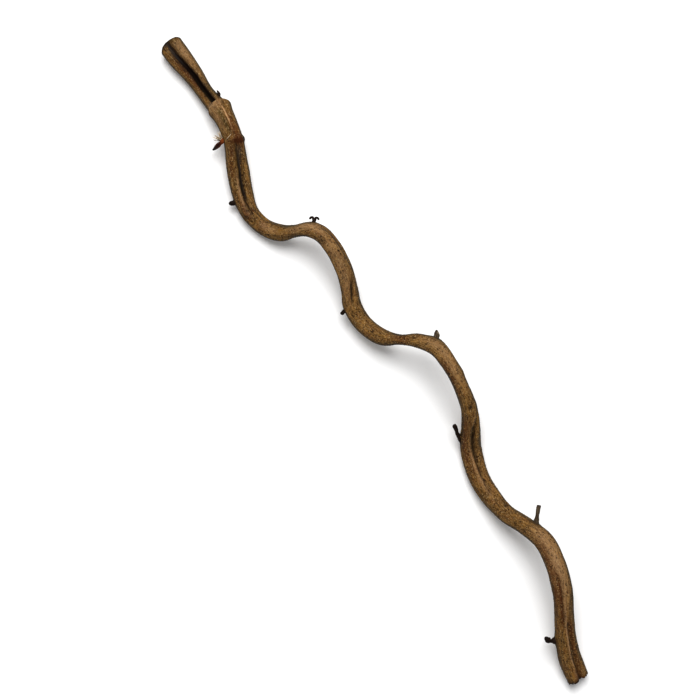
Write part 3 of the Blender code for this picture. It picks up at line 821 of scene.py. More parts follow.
class Stem:
    """The stem's middle line, its size along the way, and the place of any point of its bark."""

    def __init__(self):
        points = np.array([row[1:4] for row in ROUTE])
        sizes = np.array([row[4:6] for row in ROUTE])
        chords = np.linalg.norm(np.diff(points, axis=0), axis=1)
        knots = np.concatenate([[0.0], np.cumsum(chords)])
        fine = np.linspace(0.0, knots[-1], ROUTE_SAMPLES)
        self.line = np.stack([smooth_through(knots, axis, fine) for axis in points.T], axis=1)
        self.sizes = np.stack([smooth_through(knots, axis, fine) for axis in sizes.T], axis=1)
        steps = np.linalg.norm(np.diff(self.line, axis=0), axis=1)
        self.lengths = np.concatenate([[0.0], np.cumsum(steps)])
        self.length = float(self.lengths[-1])
        self.ahead = unit(np.gradient(self.line, self.lengths, axis=0))

    def read(self, table, along):
        """A row of the table for each place along the stem. Past an end it is the end's own row."""
        return np.stack([np.interp(along, self.lengths, column) for column in table.T], axis=-1)

    def axes(self, along):
        """Three unit directions at each place: ahead, up and to the +Y side."""
        ahead = unit(self.read(self.ahead, along))
        up = unit(np.array([0.0, 0.0, 1.0]) - ahead[..., 2:3] * ahead)
        return ahead, up, np.cross(up, ahead)

    def middle(self, along):
        """The middle line, carried straight on past its two ends."""
        inside = np.clip(along, 0.0, self.length)
        return self.read(self.line, inside) + (along - inside)[..., None] * self.axes(inside)[0]

    def bark(self, along, around):
        """Points of the bark, for arrays of places along the stem and angles round it."""
        ahead, up, side = self.axes(np.clip(along, 0.0, self.length))
        across, deep = np.moveaxis(self.read(self.sizes, along), -1, 0) / 2
        mean = (across + deep) / 2
        scale = 1 + relief(along, around, mean) / mean
        turn = np.radians(around)
        out = (across * np.sin(turn) * scale)[..., None] * side
        out = out + (deep * np.cos(turn) * scale)[..., None] * up
        return self.middle(along) + out


def turned(around, middle):
    """The angle from `middle` to `around`, from -180 to 180."""
    return (around - middle + 180) % 360 - 180


def bump(distance, reach):
    """1 at no distance, falling smoothly to about a third at `reach`."""
    return np.exp(-((distance / reach) ** 2))


def groove_depth(rows, along, around, mean):
    """The last number of the rows, spread over the width that they give, along the line that they follow."""
    places, angles, halves, depths = np.array(rows, float).T
    angle = np.interp(along, places, angles)
    half = np.interp(along, places, halves)
    depth = np.interp(along, places, depths, left=0.0, right=0.0)
    return depth * bump(np.radians(turned(around, angle)) * mean, half)


def sleeve_edge(around):
    """Where the sleeve's rim crosses each line along the bark: it leans forward on top."""
    return SLEEVE_ALONG - SLEEVE_LEAN * np.cos(np.radians(around - SLEEVE_LEAN_ROUND))


def sleeve_rise(past):
    """0 before the sleeve's rim, 1 behind it."""
    return np.clip(past / SLEEVE_RAMP, 0.0, 1.0)


def sleeve_height(along, around):
    past = along - sleeve_edge(around)
    proud = SLEEVE_PROUD + SLEEVE_PROUD_SIDE * np.sin(np.radians(around))
    return proud * sleeve_rise(past) * np.exp(-np.maximum(past, 0.0) / SLEEVE_FADE)


def channel_depth(along, around, mean):
    """The channel of the first joint, closed where the sleeve begins."""
    open_part = 1 - sleeve_rise(along - sleeve_edge(around))
    return open_part * groove_depth(CHANNEL, along, around, mean)


def ring_height(along, around):
    collar = bump(along - RING_ALONG, RING_HALF_WIDTH)
    half = RING_PROUD * bump(turned(around, RING_ROUND), RING_SPREAD)
    lump = LUMP_PROUD * bump(turned(around, LUMP_ROUND), LUMP_SPREAD)
    return collar * (half + lump)


def relief(along, around, mean):
    """How far the bark stands out of the plain oval stem, at each place."""
    height = sleeve_height(along, around) + ring_height(along, around)
    height = height - channel_depth(along, around, mean)
    for rows in GROOVES.values():
        height = height - groove_depth(rows, along, around, mean)
    for place, angle, length, spread, proud in COLLARS:
        height = height + proud * bump(along - place, length) * bump(turned(around, angle), spread)
    return height


def smooth_noise(rng, along, around, cell, count):
    """Smooth noise from -1 to 1, with cells `cell` long and `count` of them round the stem, and no seam."""
    rows = int(np.ceil(np.ptp(along) / cell)) + 3
    table = rng.uniform(-1.0, 1.0, (rows, count))
    down = (along - along.min()) / cell
    across = (around % 360) / 360 * count
    row, column = np.floor(down).astype(int), np.floor(across).astype(int) % count
    part_down, part_across = down % 1, across % 1
    part_down = part_down**2 * (3 - 2 * part_down)
    part_across = part_across**2 * (3 - 2 * part_across)
    after = (column + 1) % count
    near = table[row, column] * (1 - part_across) + table[row, after] * part_across
    far = table[row + 1, column] * (1 - part_across) + table[row + 1, after] * part_across
    return near * (1 - part_down) + far * part_down


def layered_noise(rng, along, around, layers):
    """The sum of smooth noises, one for each row: length of a cell, cells round, height."""
    height = 0.0
    for cell, count, proud in layers:
        height = height + proud * smooth_noise(rng, along, around, cell, count)
    return height


def surface_distance(along, around, mean, place, angle):
    """How far each point is from a place on the bark, measured over the surface."""
    across = np.radians(turned(around, angle)) * mean
    return np.hypot(along - place, across)


def scar_relief(along, around, mean):
    height = 0.0
    for place, angle, radius, rim, pit in SCARS:
        distance = surface_distance(along, around, mean, place, angle)
        height = height + rim * bump(distance - radius, SCAR_RIM_WIDTH)
        height = height - pit * bump(distance, radius * SCAR_PIT)
    return height


def fine_relief(along, around, mean):
    """The bark's own ridges, fibres and roughness, and the crumbly ring."""
    rng = np.random.default_rng(SEED)
    height = layered_noise(rng, along, around + along * RIDGE_TWIST, BARK_LAYERS)
    crumbs = layered_noise(rng, along, around, CRUMB_LAYERS)
    ring = RING_CRUMBS * ring_height(along, around)
    return lookup(ROUGHNESS_ALONG, along) * height + ring * crumbs + scar_relief(along, around, mean)


def band_strength(kind, along, around, mean):
    """The strongest of a kind's bands at each place."""
    found = np.zeros(np.shape(along))
    for rows in BANDS[kind].values():
        found = np.maximum(found, groove_depth(rows, along, around, mean))
    return found


def spot_strength(along, around, mean):
    found = np.zeros(np.shape(along))
    for place, angle, radius, strength in SPOTS:
        distance = surface_distance(along, around, mean, place, angle)
        found = np.maximum(found, strength * bump(distance, radius))
    return found


def groove_shade_strength(along, around, mean):
    """How much painted shade each place of a groove has, more where the groove is deeper."""
    deepest = channel_depth(along, around, mean)
    for rows in GROOVES.values():
        deepest = np.maximum(deepest, groove_depth(rows, along, around, mean))
    return np.clip(lookup(GROOVE_SHADE_ALONG, along) * deepest / DARKEST_DEPTH, 0.0, 1.0)


def end_edge_strength(along, around, length):
    """The dark edges of the saw cut and of the break."""
    from_cut = along + lookup(SAW_CUT, around)
    from_break = along - length - lookup(BREAK, around)
    cut = lookup(CUT_EDGE_DARKNESS, around) * bump(from_cut, CUT_EDGE_WIDTH)
    torn = lookup(BREAK_EDGE_DARKNESS, around) * bump(from_break, BREAK_EDGE_WIDTH)
    return np.maximum(cut, torn)


def scar_strength(along, around, mean):
    """The dark pit and outline of each scar."""
    found = np.zeros(np.shape(along))
    for place, angle, radius, _, _ in SCARS:
        distance = surface_distance(along, around, mean, place, angle)
        found = np.maximum(found, SCAR_PIT_DARKNESS * bump(distance, SCAR_PIT_SHADE * radius))
        outline = bump(distance - SCAR_OUTLINE * radius, SCAR_OUTLINE_WIDTH)
        found = np.maximum(found, SCAR_OUTLINE_DARKNESS * outline)
    return found


def twig_strength(along, around, mean):
    """The dark ring of bark round the foot of each twig."""
    found = np.zeros(np.shape(along))
    for (place, angle, _), path in TWIGS.values():
        distance = surface_distance(along, around, mean, place, angle)
        found = np.maximum(found, bump(distance, path[0][3] + FOOT_SHADE))
    return found


def eased_inside(points):
    """The points, eased back so that none is outside the box of the whole CAD part."""
    for axis in range(3):
        low, high = (corner[axis] / MM for corner in cad_box)
        over = np.logaddexp(0.0, (points[..., axis] - high + 2 * BOX_EASE) / BOX_EASE)
        under = np.logaddexp(0.0, (low - points[..., axis] + (2 * BOX_EASE if axis < 2 else 0.0)) / BOX_EASE)
        points[..., axis] += BOX_EASE * (under - over)
    return points


def linked(name, data):
    """A new object of this scene."""
    made = bpy.data.objects.new(name, data)
    bpy.context.scene.collection.objects.link(made)
    return made


def mesh_object(name, points, faces, materials, indices=None, attributes=None):
    """A mesh object from points in millimetres, with its materials and its point attributes."""
    mesh = bpy.data.meshes.new(name)
    mesh.from_pydata((np.asarray(points) * MM).tolist(), [], faces)
    for material in materials:
        mesh.materials.append(material)
    if indices is not None:
        mesh.polygons.foreach_set("material_index", np.asarray(indices, np.int32))
    for label, values in (attributes or {}).items():
        values = np.asarray(values, np.float32)
        kind = "FLOAT_VECTOR" if values.ndim == 2 else "FLOAT"
        layer = mesh.attributes.new(label, kind, "POINT")
        layer.data.foreach_set("vector" if values.ndim == 2 else "value", values.ravel())
    mesh.shade_smooth()
    mesh.update()
    return linked(name, mesh)


def strip_faces(low, high, sides):
    """The faces between two rings of points, given by the number of each ring's first point."""
    afters = [(side + 1) % sides for side in range(sides)]
    return [(low + side, high + side, high + after, low + after) for side, after in enumerate(afters)]


def wall_faces(rows, sides):
    return [face for row in range(rows - 1) for face in strip_faces(row * sides, (row + 1) * sides, sides)]


def cap_faces(rim, first, rings, sides, middle, turn):
    """Faces from a rim of points through smaller rings to a middle point. `turn` flips their winding."""
    rows = [rim, *(first + ring * sides for ring in range(rings))]
    faces = [face for low, high in zip(rows, rows[1:]) for face in strip_faces(low, high, sides)]
    for side in range(sides):
        faces.append((rows[-1] + side, middle, rows[-1] + (side + 1) % sides))
    return [face[::-1] for face in faces] if turn else faces


def stem_places(stem):
    """The fine grid of places, set out as the solid's is, with extra rings at the sleeve's rim."""
    count = round(stem.length / STEM_STEP)
    rings = np.linspace(0.0, stem.length, count + 1)
    clear = np.abs(rings - SLEEVE_ALONG - RIM_MIDDLE) > RIM_CLEAR
    rings = np.sort(np.concatenate([rings[clear], SLEEVE_ALONG + np.array(RIM_RINGS)]))
    angles = 360 * np.arange(STEM_SIDES) / STEM_SIDES
    along, around = np.meshgrid(rings, angles, indexing="ij")
    around = turned(around, -lookup(GRAIN, along))
    along = along + (sleeve_edge(around) - SLEEVE_ALONG) * bump(along - SLEEVE_ALONG, SLEEVE_REACH)
    rng = np.random.default_rng(RIM_SEED)
    torn = layered_noise(rng, 0 * around[-1], around[-1], TORN_RIM_LAYERS)
    near_start = np.clip(1 - along / CUT_REACH, 0.0, 1.0)
    near_end = np.clip(1 - (stem.length - along) / BREAK_REACH, 0.0, 1.0)
    along = along - near_start * lookup(SAW_CUT, around)
    along = along + near_end * lookup(BREAK, around)
    along[-1] += torn
    return along, around


def stem_cap(stem, rim, at_end):
    """Rings of points from the rim inwards: a nearly flat sawn face, or a torn and hollow broken one."""
    rng = np.random.default_rng(FACE_SEED + at_end)
    middle = rim.mean(axis=0)
    ahead = stem.axes(np.array(stem.length if at_end else 0.0))[0]
    angles = 360 * np.arange(len(rim)) / len(rim)
    rings = []
    for step in range(1, CAP_RINGS + 1):
        share = 1 - step / (CAP_RINGS + 1)
        ring = middle + (rim - middle) * share
        if at_end:
            torn = layered_noise(rng, 0 * angles, angles, TORN_FACE_LAYERS) * share
            depth = torn - PITH_HOLLOW * (1 - share) ** PITH_STEEPNESS
        else:
            marks = SAW_MARKS * math.cos(SAW_MARK_TURNS * share)
            depth = marks + layered_noise(rng, 0 * angles, angles, SAWN_FACE_LAYERS)
        rings.append(ring + np.asarray(depth)[..., None] * ahead)
    middle = middle - (PITH_HOLLOW * ahead if at_end else 0.0)
    return np.concatenate([*rings, middle[None]])


def stand_on_floor(stem):
    """Shifts the whole route so that the stem's lowest point is on the floor."""
    along, around = stem_places(stem)
    stem.line[:, 2] -= stem.bark(along, around)[..., 2].min()


def make_stem(stem, materials):
    along, around = stem_places(stem)
    sizes = np.moveaxis(stem.read(stem.sizes, along), -1, 0)
    mean = sizes.sum(axis=0) / 4
    skin = stem.bark(along, around)
    out = unit(skin - stem.middle(along))
    skin = skin + fine_relief(along, around, mean)[..., None] * out
    skin = eased_inside(skin)
    rows, sides = along.shape
    walls = wall_faces(rows, sides)
    count = rows * sides
    size = CAP_RINGS * sides
    start_faces = cap_faces(0, count, CAP_RINGS, sides, count + size, True)
    second = count + size + 1
    end_faces = cap_faces(count - sides, second, CAP_RINGS, sides, second + size, False)
    caps = [stem_cap(stem, skin[0], False), stem_cap(stem, skin[-1], True)]
    points = np.concatenate([skin.reshape(-1, 3), *caps])
    indices = [0] * len(walls) + [1] * len(start_faces) + [2] * len(end_faces)

    def with_caps(values):
        """The values of the walls, and zeros on the two end faces."""
        flat = np.asarray(values).reshape(count, *np.shape(values)[2:])
        return np.concatenate([flat, np.zeros((len(points) - count, *flat.shape[1:]))])

    turn = np.radians(around)
    grown = with_caps(np.stack([along, mean * np.cos(turn), mean * np.sin(turn)], axis=-1))
    grown[count:] = points[count:]
    attributes = {"grown": grown}
    for kind in BANDS:
        attributes[kind] = with_caps(band_strength(kind, along, around, mean))
    marks = (
        spot_strength(along, around, mean),
        twig_strength(along, around, mean),
        scar_strength(along, around, mean),
        end_edge_strength(along, around, stem.length),
    )
    # The dark mask holds dark spots, scars, twig feet and the ends' edges, and painted shade in the slits,
    # the notch and the gap between the strands
    attributes["dark"] = np.maximum(attributes["dark"], with_caps(np.max(marks, axis=0)))
    # Painted shade in the grooves, the more the deeper they are
    attributes["hollow"] = with_caps(groove_shade_strength(along, around, mean))
    attributes["ring"] = with_caps(np.clip(ring_height(along, around) / RING_PROUD, 0.0, 1.0))
    covered = np.maximum(attributes["hollow"], attributes["dark"])[:count].reshape(along.shape)
    past_ring = (along - RING_ALONG - WARTS_PAST_RING) / WARTS_FADE
    warty = np.clip(past_ring, WARTS_LEAST, 1.0) * np.clip(1 - 2 * covered, 0.0, 1.0)
    attributes["warty"] = with_caps(warty)
    return mesh_object("stem_bark", points, walls + start_faces + end_faces, materials, indices, attributes)


def local_path(stem, along, around, inside, path):
    """A path given by steps ahead, out to the side and up, as points in millimetres, with its radii."""
    ahead, up, side = stem.axes(np.array(along))
    skin = stem.bark(np.array(along), np.array(float(around)))
    inward = unit(stem.middle(np.array(along)) - skin)
    steps = np.array(path)
    points = skin + inside * inward + steps[:, :1] * ahead + steps[:, 1:2] * side + steps[:, 2:3] * up
    return points, steps[:, 3]


class Tube:
    """A smooth tube along a path, as rings of points round its line. It is rounded off at its tip."""

    def __init__(self, points, radii, rings, sides, flatness=1.0, round_tip=0.75):
        knots = np.concatenate([[0.0], np.cumsum(np.linalg.norm(np.diff(points, axis=0), axis=1))])
        fine = knots[-1] * (1 - (1 - np.linspace(0.0, 1.0, rings)) ** TIP_CROWDING)
        self.line = np.stack([smooth_through(knots, axis, fine) for axis in points.T], axis=1)
        radius = smooth_through(knots, radii, fine)
        left = knots[-1] - fine
        tip = radii[-1] * round_tip
        rounded = np.clip(1 - (1 - np.clip(left / tip, 0.0, 1.0)) ** 2, TIP_LEAST, 1.0)
        self.radius = radius * np.sqrt(rounded)
        headings = unit(np.gradient(self.line, axis=0))
        flat = unit(np.cross(headings, np.array([0.0, 0.0, 1.0])))
        other = np.cross(flat, headings)
        turns = 360 * np.arange(sides) / sides
        self.along, self.around = np.meshgrid(fine, turns, indexing="ij")
        angle = np.radians(self.around)
        across = (np.cos(angle) * self.radius[:, None])[..., None] * flat[:, None]
        rise = (flatness * np.sin(angle) * self.radius[:, None])[..., None] * other[:, None]
        self.out = across + rise

    def closed(self, scale):
        """Its points and faces, with each ring scaled about the line and both ends closed."""
        rings = self.line[:, None] + self.out * np.asarray(scale)[..., None]
        rows, sides = self.along.shape
        faces = wall_faces(rows, sides)
        last = (rows - 1) * sides
        for side in range(sides):
            after = (side + 1) % sides
            faces.append((rows * sides, side, after))
            faces.append((rows * sides + 1, last + after, last + side))
        return np.concatenate([rings.reshape(-1, 3), self.line[:1], self.line[-1:]]), faces

    def with_ends(self, values, first, last):
        """The values of the rings, and those of the two end points."""
        return np.concatenate([values.ravel(), [first, last]])

    def grown(self, shift=0.0):
        """Each point's place in the grain, from `shift` on."""
        turn = np.radians(self.around)
        radius = self.radius[:, None]
        places = np.stack([self.along + shift, radius * np.cos(turn), radius * np.sin(turn)], axis=-1)
        ends = [[shift, 0, 0], [shift + self.along[-1, 0], 0, 0]]
        return np.concatenate([places.reshape(-1, 3), ends])


def make_twig(stem, name, piece_name, seed, material, knobs, round_tip):
    (place, angle, inside), path = TWIGS[name]
    points, radii = local_path(stem, place, angle, inside, path)
    tube = Tube(points, radii, TWIG_RINGS, TWIG_SIDES, 1.0, round_tip)
    rng = np.random.default_rng(seed)
    layers = (*TWIG_LAYERS, (*TWIG_KNOB_CELLS, knobs))
    points, faces = tube.closed(1 + layered_noise(rng, tube.along, tube.around, layers))
    length = tube.along.max()
    foot = np.clip(1 - tube.along / length * FOOT_FADE, 0.0, 1.0)
    cut = np.clip((tube.along - length + CUT_TIP) / CUT_TIP_FADE, 0.0, 1.0)
    attributes = {
        "grown": tube.grown(TWIG_GRAIN_SHIFT * seed),
        "foot": tube.with_ends(foot, 1.0, 0.0),
        "cut": tube.with_ends(cut, 0.0, 1.0),
    }
    made = mesh_object(piece_name, points, faces, [material], None, attributes)
    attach(made, "root")


def make_leaf_base(stem, material):
    """The curled, slit scrap of leaf base, pleated lengthwise."""
    along, around = LEAF_START
    points, radii = local_path(stem, along, around, LEAF_ROOT, LEAF_PATH)
    tube = Tube(points, radii, LEAF_RINGS, LEAF_SIDES, LEAF_FLATNESS, LEAF_ROUND_TIP)
    rng = np.random.default_rng(LEAF_SEED)
    pleats = layered_noise(rng, tube.along, tube.around, LEAF_LAYERS)
    from_slit = np.clip((tube.along - LEAF_SLIT_START) / LEAF_SLIT_FADE, 0.0, 1.0)
    fold = bump(turned(tube.around, LEAF_SLIT_ROUND), LEAF_SLIT_SPREAD) * from_slit
    points, faces = tube.closed(1 + pleats - LEAF_SLIT_DEPTH * fold)
    tip = np.clip((tube.along / tube.along.max() - LEAF_GREY_START) / LEAF_GREY_FADE, 0.0, 1.0)
    root = np.clip((LEAF_ORANGE_END - tube.along) / LEAF_ORANGE_FADE, 0.0, 1.0)
    attributes = {
        "grown": tube.grown(),
        "tip": tube.with_ends(tip, 0.0, 1.0),
        "fold": tube.with_ends(fold, 0.0, 0.0),
        "root": tube.with_ends(root, 1.0, 0.0),
    }
    made = mesh_object("leaf_base", points, faces, [material], None, attributes)
    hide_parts("dried_leaf_base")
    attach(made, "root")


def make_cross_fibre(stem, material):
    along, around, above, radii = np.array(CROSS_FIBRE, float).T
    skin = stem.bark(along, around)
    out = unit(skin - stem.middle(along))
    tube = Tube(skin + above[:, None] * out, radii, CROSS_FIBRE_RINGS, CROSS_FIBRE_SIDES)
    points, faces = tube.closed(1.0)
    made = mesh_object("cross_fibre", points, faces, [material])
    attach(made, "root")


def feed(tree, value, socket):
    """Links a node's output to the socket, or sets the socket to a constant. A colour gets its alpha."""
    if isinstance(value, bpy.types.NodeSocket):
        tree.links.new(value, socket)
    elif socket.type == "RGBA":
        socket.default_value = (*value, 1.0)
    else:
        socket.default_value = value


def new_node(tree, kind, values=None, **settings):
    """A node with its settings. `values` feeds its inputs, by name or number."""
    made = tree.nodes.new(kind)
    for name, value in settings.items():
        setattr(made, name, value)
    for name, value in (values or {}).items():
        feed(tree, value, made.inputs[name])
    return made


def value_range(tree, source, low, high, to_low=0.0, to_high=1.0):
    values = {0: source, 1: low, 2: high, 3: to_low, 4: to_high}
    return new_node(tree, "ShaderNodeMapRange", values).outputs[0]


def product(tree, first, second):
    return new_node(tree, "ShaderNodeMath", {0: first, 1: second}, operation="MULTIPLY").outputs[0]


def added(tree, first, second):
    return new_node(tree, "ShaderNodeMath", {0: first, 1: second}, operation="ADD").outputs[0]


def growth_tree(name, inputs):
    """A geometry tree with these inputs, each a label and a type, and a geometry output."""
    tree = bpy.data.node_groups.new(name, "GeometryNodeTree")
    tree.interface.new_socket("Geometry", in_out="OUTPUT", socket_type="NodeSocketGeometry")
    for label, kind in inputs.items():
        tree.interface.new_socket(label, in_out="INPUT", socket_type="NodeSocket" + kind)
    return tree, tree.nodes.new("NodeGroupInput").outputs, tree.nodes.new("NodeGroupOutput").inputs[0]


def scattered(tree, surface, density, seed):
    """Random points on a surface: their places, the surface's normals and the rotations to them."""
    values = {"Mesh": surface, "Density": density, "Seed": seed}
    return new_node(tree, "GeometryNodeDistributePointsOnFaces", values, distribute_method="RANDOM").outputs


def random_size(tree, low, high, seed):
    values = {2: low, 3: high, "Seed": seed}
    return new_node(tree, "FunctionNodeRandomValue", values, data_type="FLOAT").outputs[1]


def place_copies(tree, result, points, shape, rotation, scale, material):
    """Puts the shape on every point, makes the copies real and gives them their material."""
    scaled = new_node(tree, "ShaderNodeCombineXYZ", dict(enumerate(scale))).outputs[0]
    values = {"Points": points, "Instance": shape, "Rotation": rotation, "Scale": scaled}
    copies = new_node(tree, "GeometryNodeInstanceOnPoints", values).outputs[0]
    real = new_node(tree, "GeometryNodeRealizeInstances", {0: copies}).outputs[0]
    smooth = new_node(tree, "GeometryNodeSetShadeSmooth", {"Geometry": real}).outputs[0]
    coloured = new_node(tree, "GeometryNodeSetMaterial", {"Geometry": smooth, "Material": material})
    feed(tree, coloured.outputs[0], result)


def wart_tree():
    """Small flattened beads scattered over the bark, where its `warty` mask is high."""
    tree, given, result = growth_tree("scattered bark warts", WART_INPUTS)
    mask = new_node(tree, "GeometryNodeInputNamedAttribute", {0: "warty"}, data_type="FLOAT").outputs[0]
    spread = scattered(tree, given["Bark"], product(tree, mask, given["How many"]), given["Seed"])
    size = random_size(tree, given["Smallest"], given["Largest"], given["Seed"])
    bead = new_node(tree, "GeometryNodeMeshIcoSphere", {"Radius": 1.0, "Subdivisions": 1}).outputs["Mesh"]
    scale = (size, size, product(tree, size, given["Flatness"]))
    place_copies(tree, result, spread["Points"], bead, spread["Rotation"], scale, given["Material"])
    return tree


def bristle_tree():
    """Thin tapering bristles on a patch, facing the patch's way with some spread."""
    tree, given, result = growth_tree("tuft of bristles", BRISTLE_INPUTS)
    spread = scattered(tree, given["Patch"], given["How many"], given["Seed"])
    values = {0: (-1.0, -1.0, -1.0), "Seed": given["Seed"]}
    stray = new_node(tree, "FunctionNodeRandomValue", values, data_type="FLOAT_VECTOR").outputs[0]
    values = {0: stray, "Scale": given["Spread"]}
    lean = new_node(tree, "ShaderNodeVectorMath", values, operation="SCALE").outputs[0]
    values = {0: spread["Normal"], 1: lean}
    heading = new_node(tree, "ShaderNodeVectorMath", values, operation="ADD").outputs[0]
    aligned = new_node(tree, "FunctionNodeAlignRotationToVector", {"Vector": heading}, axis="Z").outputs[0]
    length = random_size(tree, given["Shortest"], given["Longest"], given["Seed"])
    hair = one_bristle(tree, given["Thickness"])
    place_copies(tree, result, spread["Points"], hair, aligned, (length, length, length), given["Material"])
    return tree


def one_bristle(tree, thickness):
    """A bristle of length 1 that tapers and bends over. Its thickness is a share of its length."""
    line = new_node(tree, "GeometryNodeCurvePrimitiveLine", {"Start": (0, 0, 0), "End": (0, 0, 1)}).outputs[0]
    points = new_node(tree, "GeometryNodeResampleCurve", {"Curve": line, "Count": BRISTLE_RINGS}).outputs[0]
    share = tree.nodes.new("GeometryNodeSplineParameter").outputs["Factor"]
    bent = product(tree, product(tree, share, share), BRISTLE_BEND)
    offset = new_node(tree, "ShaderNodeCombineXYZ", {0: bent}).outputs[0]
    moved = new_node(tree, "GeometryNodeSetPosition", {"Geometry": points, "Offset": offset}).outputs[0]
    taper = value_range(tree, share, 0.0, 1.0, 1.0, BRISTLE_TIP)
    thinned = new_node(tree, "GeometryNodeSetCurveRadius", {"Curve": moved, "Radius": taper}).outputs[0]
    values = {"Resolution": BRISTLE_SIDES, "Radius": thickness}
    section = new_node(tree, "GeometryNodeCurvePrimitiveCircle", values).outputs[0]
    values = {"Curve": thinned, "Profile Curve": section, "Fill Caps": True, "Scale": taper}
    return new_node(tree, "GeometryNodeCurveToMesh", values).outputs[0]


def grown_from(name, source, tree, values):
    """A new piece: the source's mesh put through the tree with these values, and kept as a plain mesh."""
    made = linked(name, source.data.copy())
    modifier = made.modifiers.new("growth", "NODES")
    sockets = {item.name: item.identifier for item in tree.interface.items_tree if item.in_out == "INPUT"}
    modifier.node_group = tree
    for label, value in values.items():
        modifier[sockets[label]] = value
    bpy.context.view_layer.update()
    graph = bpy.context.evaluated_depsgraph_get()
    mesh = bpy.data.meshes.new_from_object(made.evaluated_get(graph))
    made.modifiers.clear()
    made.data = mesh
    mesh.name = name
    points = np.empty(3 * len(mesh.vertices))
    mesh.vertices.foreach_get("co", points)
    points = eased_inside(points.reshape(-1, 3) / MM) * MM
    mesh.vertices.foreach_set("co", points.ravel())
    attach(made, "root")


def make_warts(bark, materials):
    tree = wart_tree()
    for seed, (name, (density, smallest, largest, flatness, surface)) in enumerate(WARTS.items()):
        values = {
            "How many": density,
            "Seed": WART_SEED + seed,
            "Smallest": smallest * MM,
            "Largest": largest * MM,
            "Flatness": flatness,
            "Material": materials[surface],
        }
        grown_from(name, bark, tree, values)


def disc_patch(centre, facing, radius):
    """A small flat disc for bristles to grow from, in millimetres."""
    side = unit(np.cross(facing, PATCH_SLANT))
    other = np.cross(facing, side)
    turns = 2 * math.pi * np.arange(PATCH_SIDES) / PATCH_SIDES
    rim = centre + radius * (np.cos(turns)[:, None] * side + np.sin(turns)[:, None] * other)
    return mesh_object("patch", rim, [tuple(range(PATCH_SIDES))], [])


def make_tufts(stem, materials):
    tree = bristle_tree()
    for seed, (name, row) in enumerate(TUFTS.items()):
        (along, around, inside), facing, radius, count, shortest, longest, thick, spread, surface = row
        start, _ = local_path(stem, along, around, inside, ((0.0, 0.0, 0.0, 1.0),))
        ahead, up, side = stem.axes(np.array(along))
        way = unit(facing[0] * ahead + facing[1] * side + facing[2] * up)
        patch = disc_patch(start[0], way, radius)
        area = math.pi * (radius * MM) ** 2
        values = {
            "How many": count / area,
            "Seed": SEED + seed,
            "Shortest": shortest * MM,
            "Longest": longest * MM,
            "Thickness": 2 * thick / (shortest + longest),
            "Spread": spread,
            "Material": materials[surface],
        }
        grown_from(name, patch, tree, values)
        bpy.data.objects.remove(patch, do_unlink=True)


def grain_group():
    """Masks of dry bark, from a place in millimetres: soft patches, long fibres, and dark and pale specks."""
    tree = bpy.data.node_groups.new("long bark grain", "ShaderNodeTree")
    tree.interface.new_socket("Place", in_out="INPUT", socket_type="NodeSocketVector")
    for name in (*GRAIN_MASKS, "Height"):
        tree.interface.new_socket(name, in_out="OUTPUT", socket_type="NodeSocketFloat")
    given = tree.nodes.new("NodeGroupInput").outputs["Place"]
    result = tree.nodes.new("NodeGroupOutput").inputs
    noises = {}
    for name, (along, across, detail, roughness, shift, low, high) in GRAIN_MASKS.items():
        values = {0: given, 1: (along, across, across), 2: (shift, shift, shift)}
        place = new_node(tree, "ShaderNodeVectorMath", values, operation="MULTIPLY_ADD").outputs[0]
        values = {"Vector": place, "Scale": 1.0, "Detail": detail, "Roughness": roughness}
        noises[name] = new_node(tree, "ShaderNodeTexNoise", values).outputs["Fac"]
        feed(tree, value_range(tree, noises[name], low, high), result[name])
    pits = product(tree, value_range(tree, noises["Dark specks"], *PIT_RANGE), -PIT_DEPTH)
    feed(tree, added(tree, product(tree, noises["Fibres"], FIBRE_HEIGHT), pits), result["Height"])
    return tree


class Surface:
    """A material with one Principled shader, whose colour is laid on tint by tint."""

    def __init__(self, name, roughness, colour, specular=SPECULAR):
        self.material = bpy.data.materials.new(name)
        self.material.use_nodes = True
        self.tree = self.material.node_tree
        self.shader = self.tree.nodes["Principled BSDF"]
        self.shader.inputs["Roughness"].default_value = roughness
        self.shader.inputs["Specular IOR Level"].default_value = specular
        self.colour = colour

    def mask(self, name):
        return new_node(self.tree, "ShaderNodeAttribute", attribute_name=name).outputs["Fac"]

    def grain(self, group):
        place = new_node(self.tree, "ShaderNodeAttribute", attribute_name="grown").outputs["Vector"]
        return new_node(self.tree, "ShaderNodeGroup", {"Place": place}, node_tree=group).outputs

    def lay(self, tint, strength):
        """Mixes the colour so far towards a named colour, by the mask `strength`."""
        values = {0: strength, 6: self.colour, 7: COLOURS[tint]}
        mix = new_node(self.tree, "ShaderNodeMix", values, data_type="RGBA", clamp_factor=True)
        self.colour = mix.outputs[2]

    def finish(self, height=None, distance=0.0):
        """The material, with its colour and, where a height is given, its bumps."""
        feed(self.tree, self.colour, self.shader.inputs["Base Color"])
        if height is not None:
            values = {"Height": height, "Strength": 1.0, "Distance": distance}
            raised = new_node(self.tree, "ShaderNodeBump", values)
            feed(self.tree, raised.outputs[0], self.shader.inputs["Normal"])
        return self.material


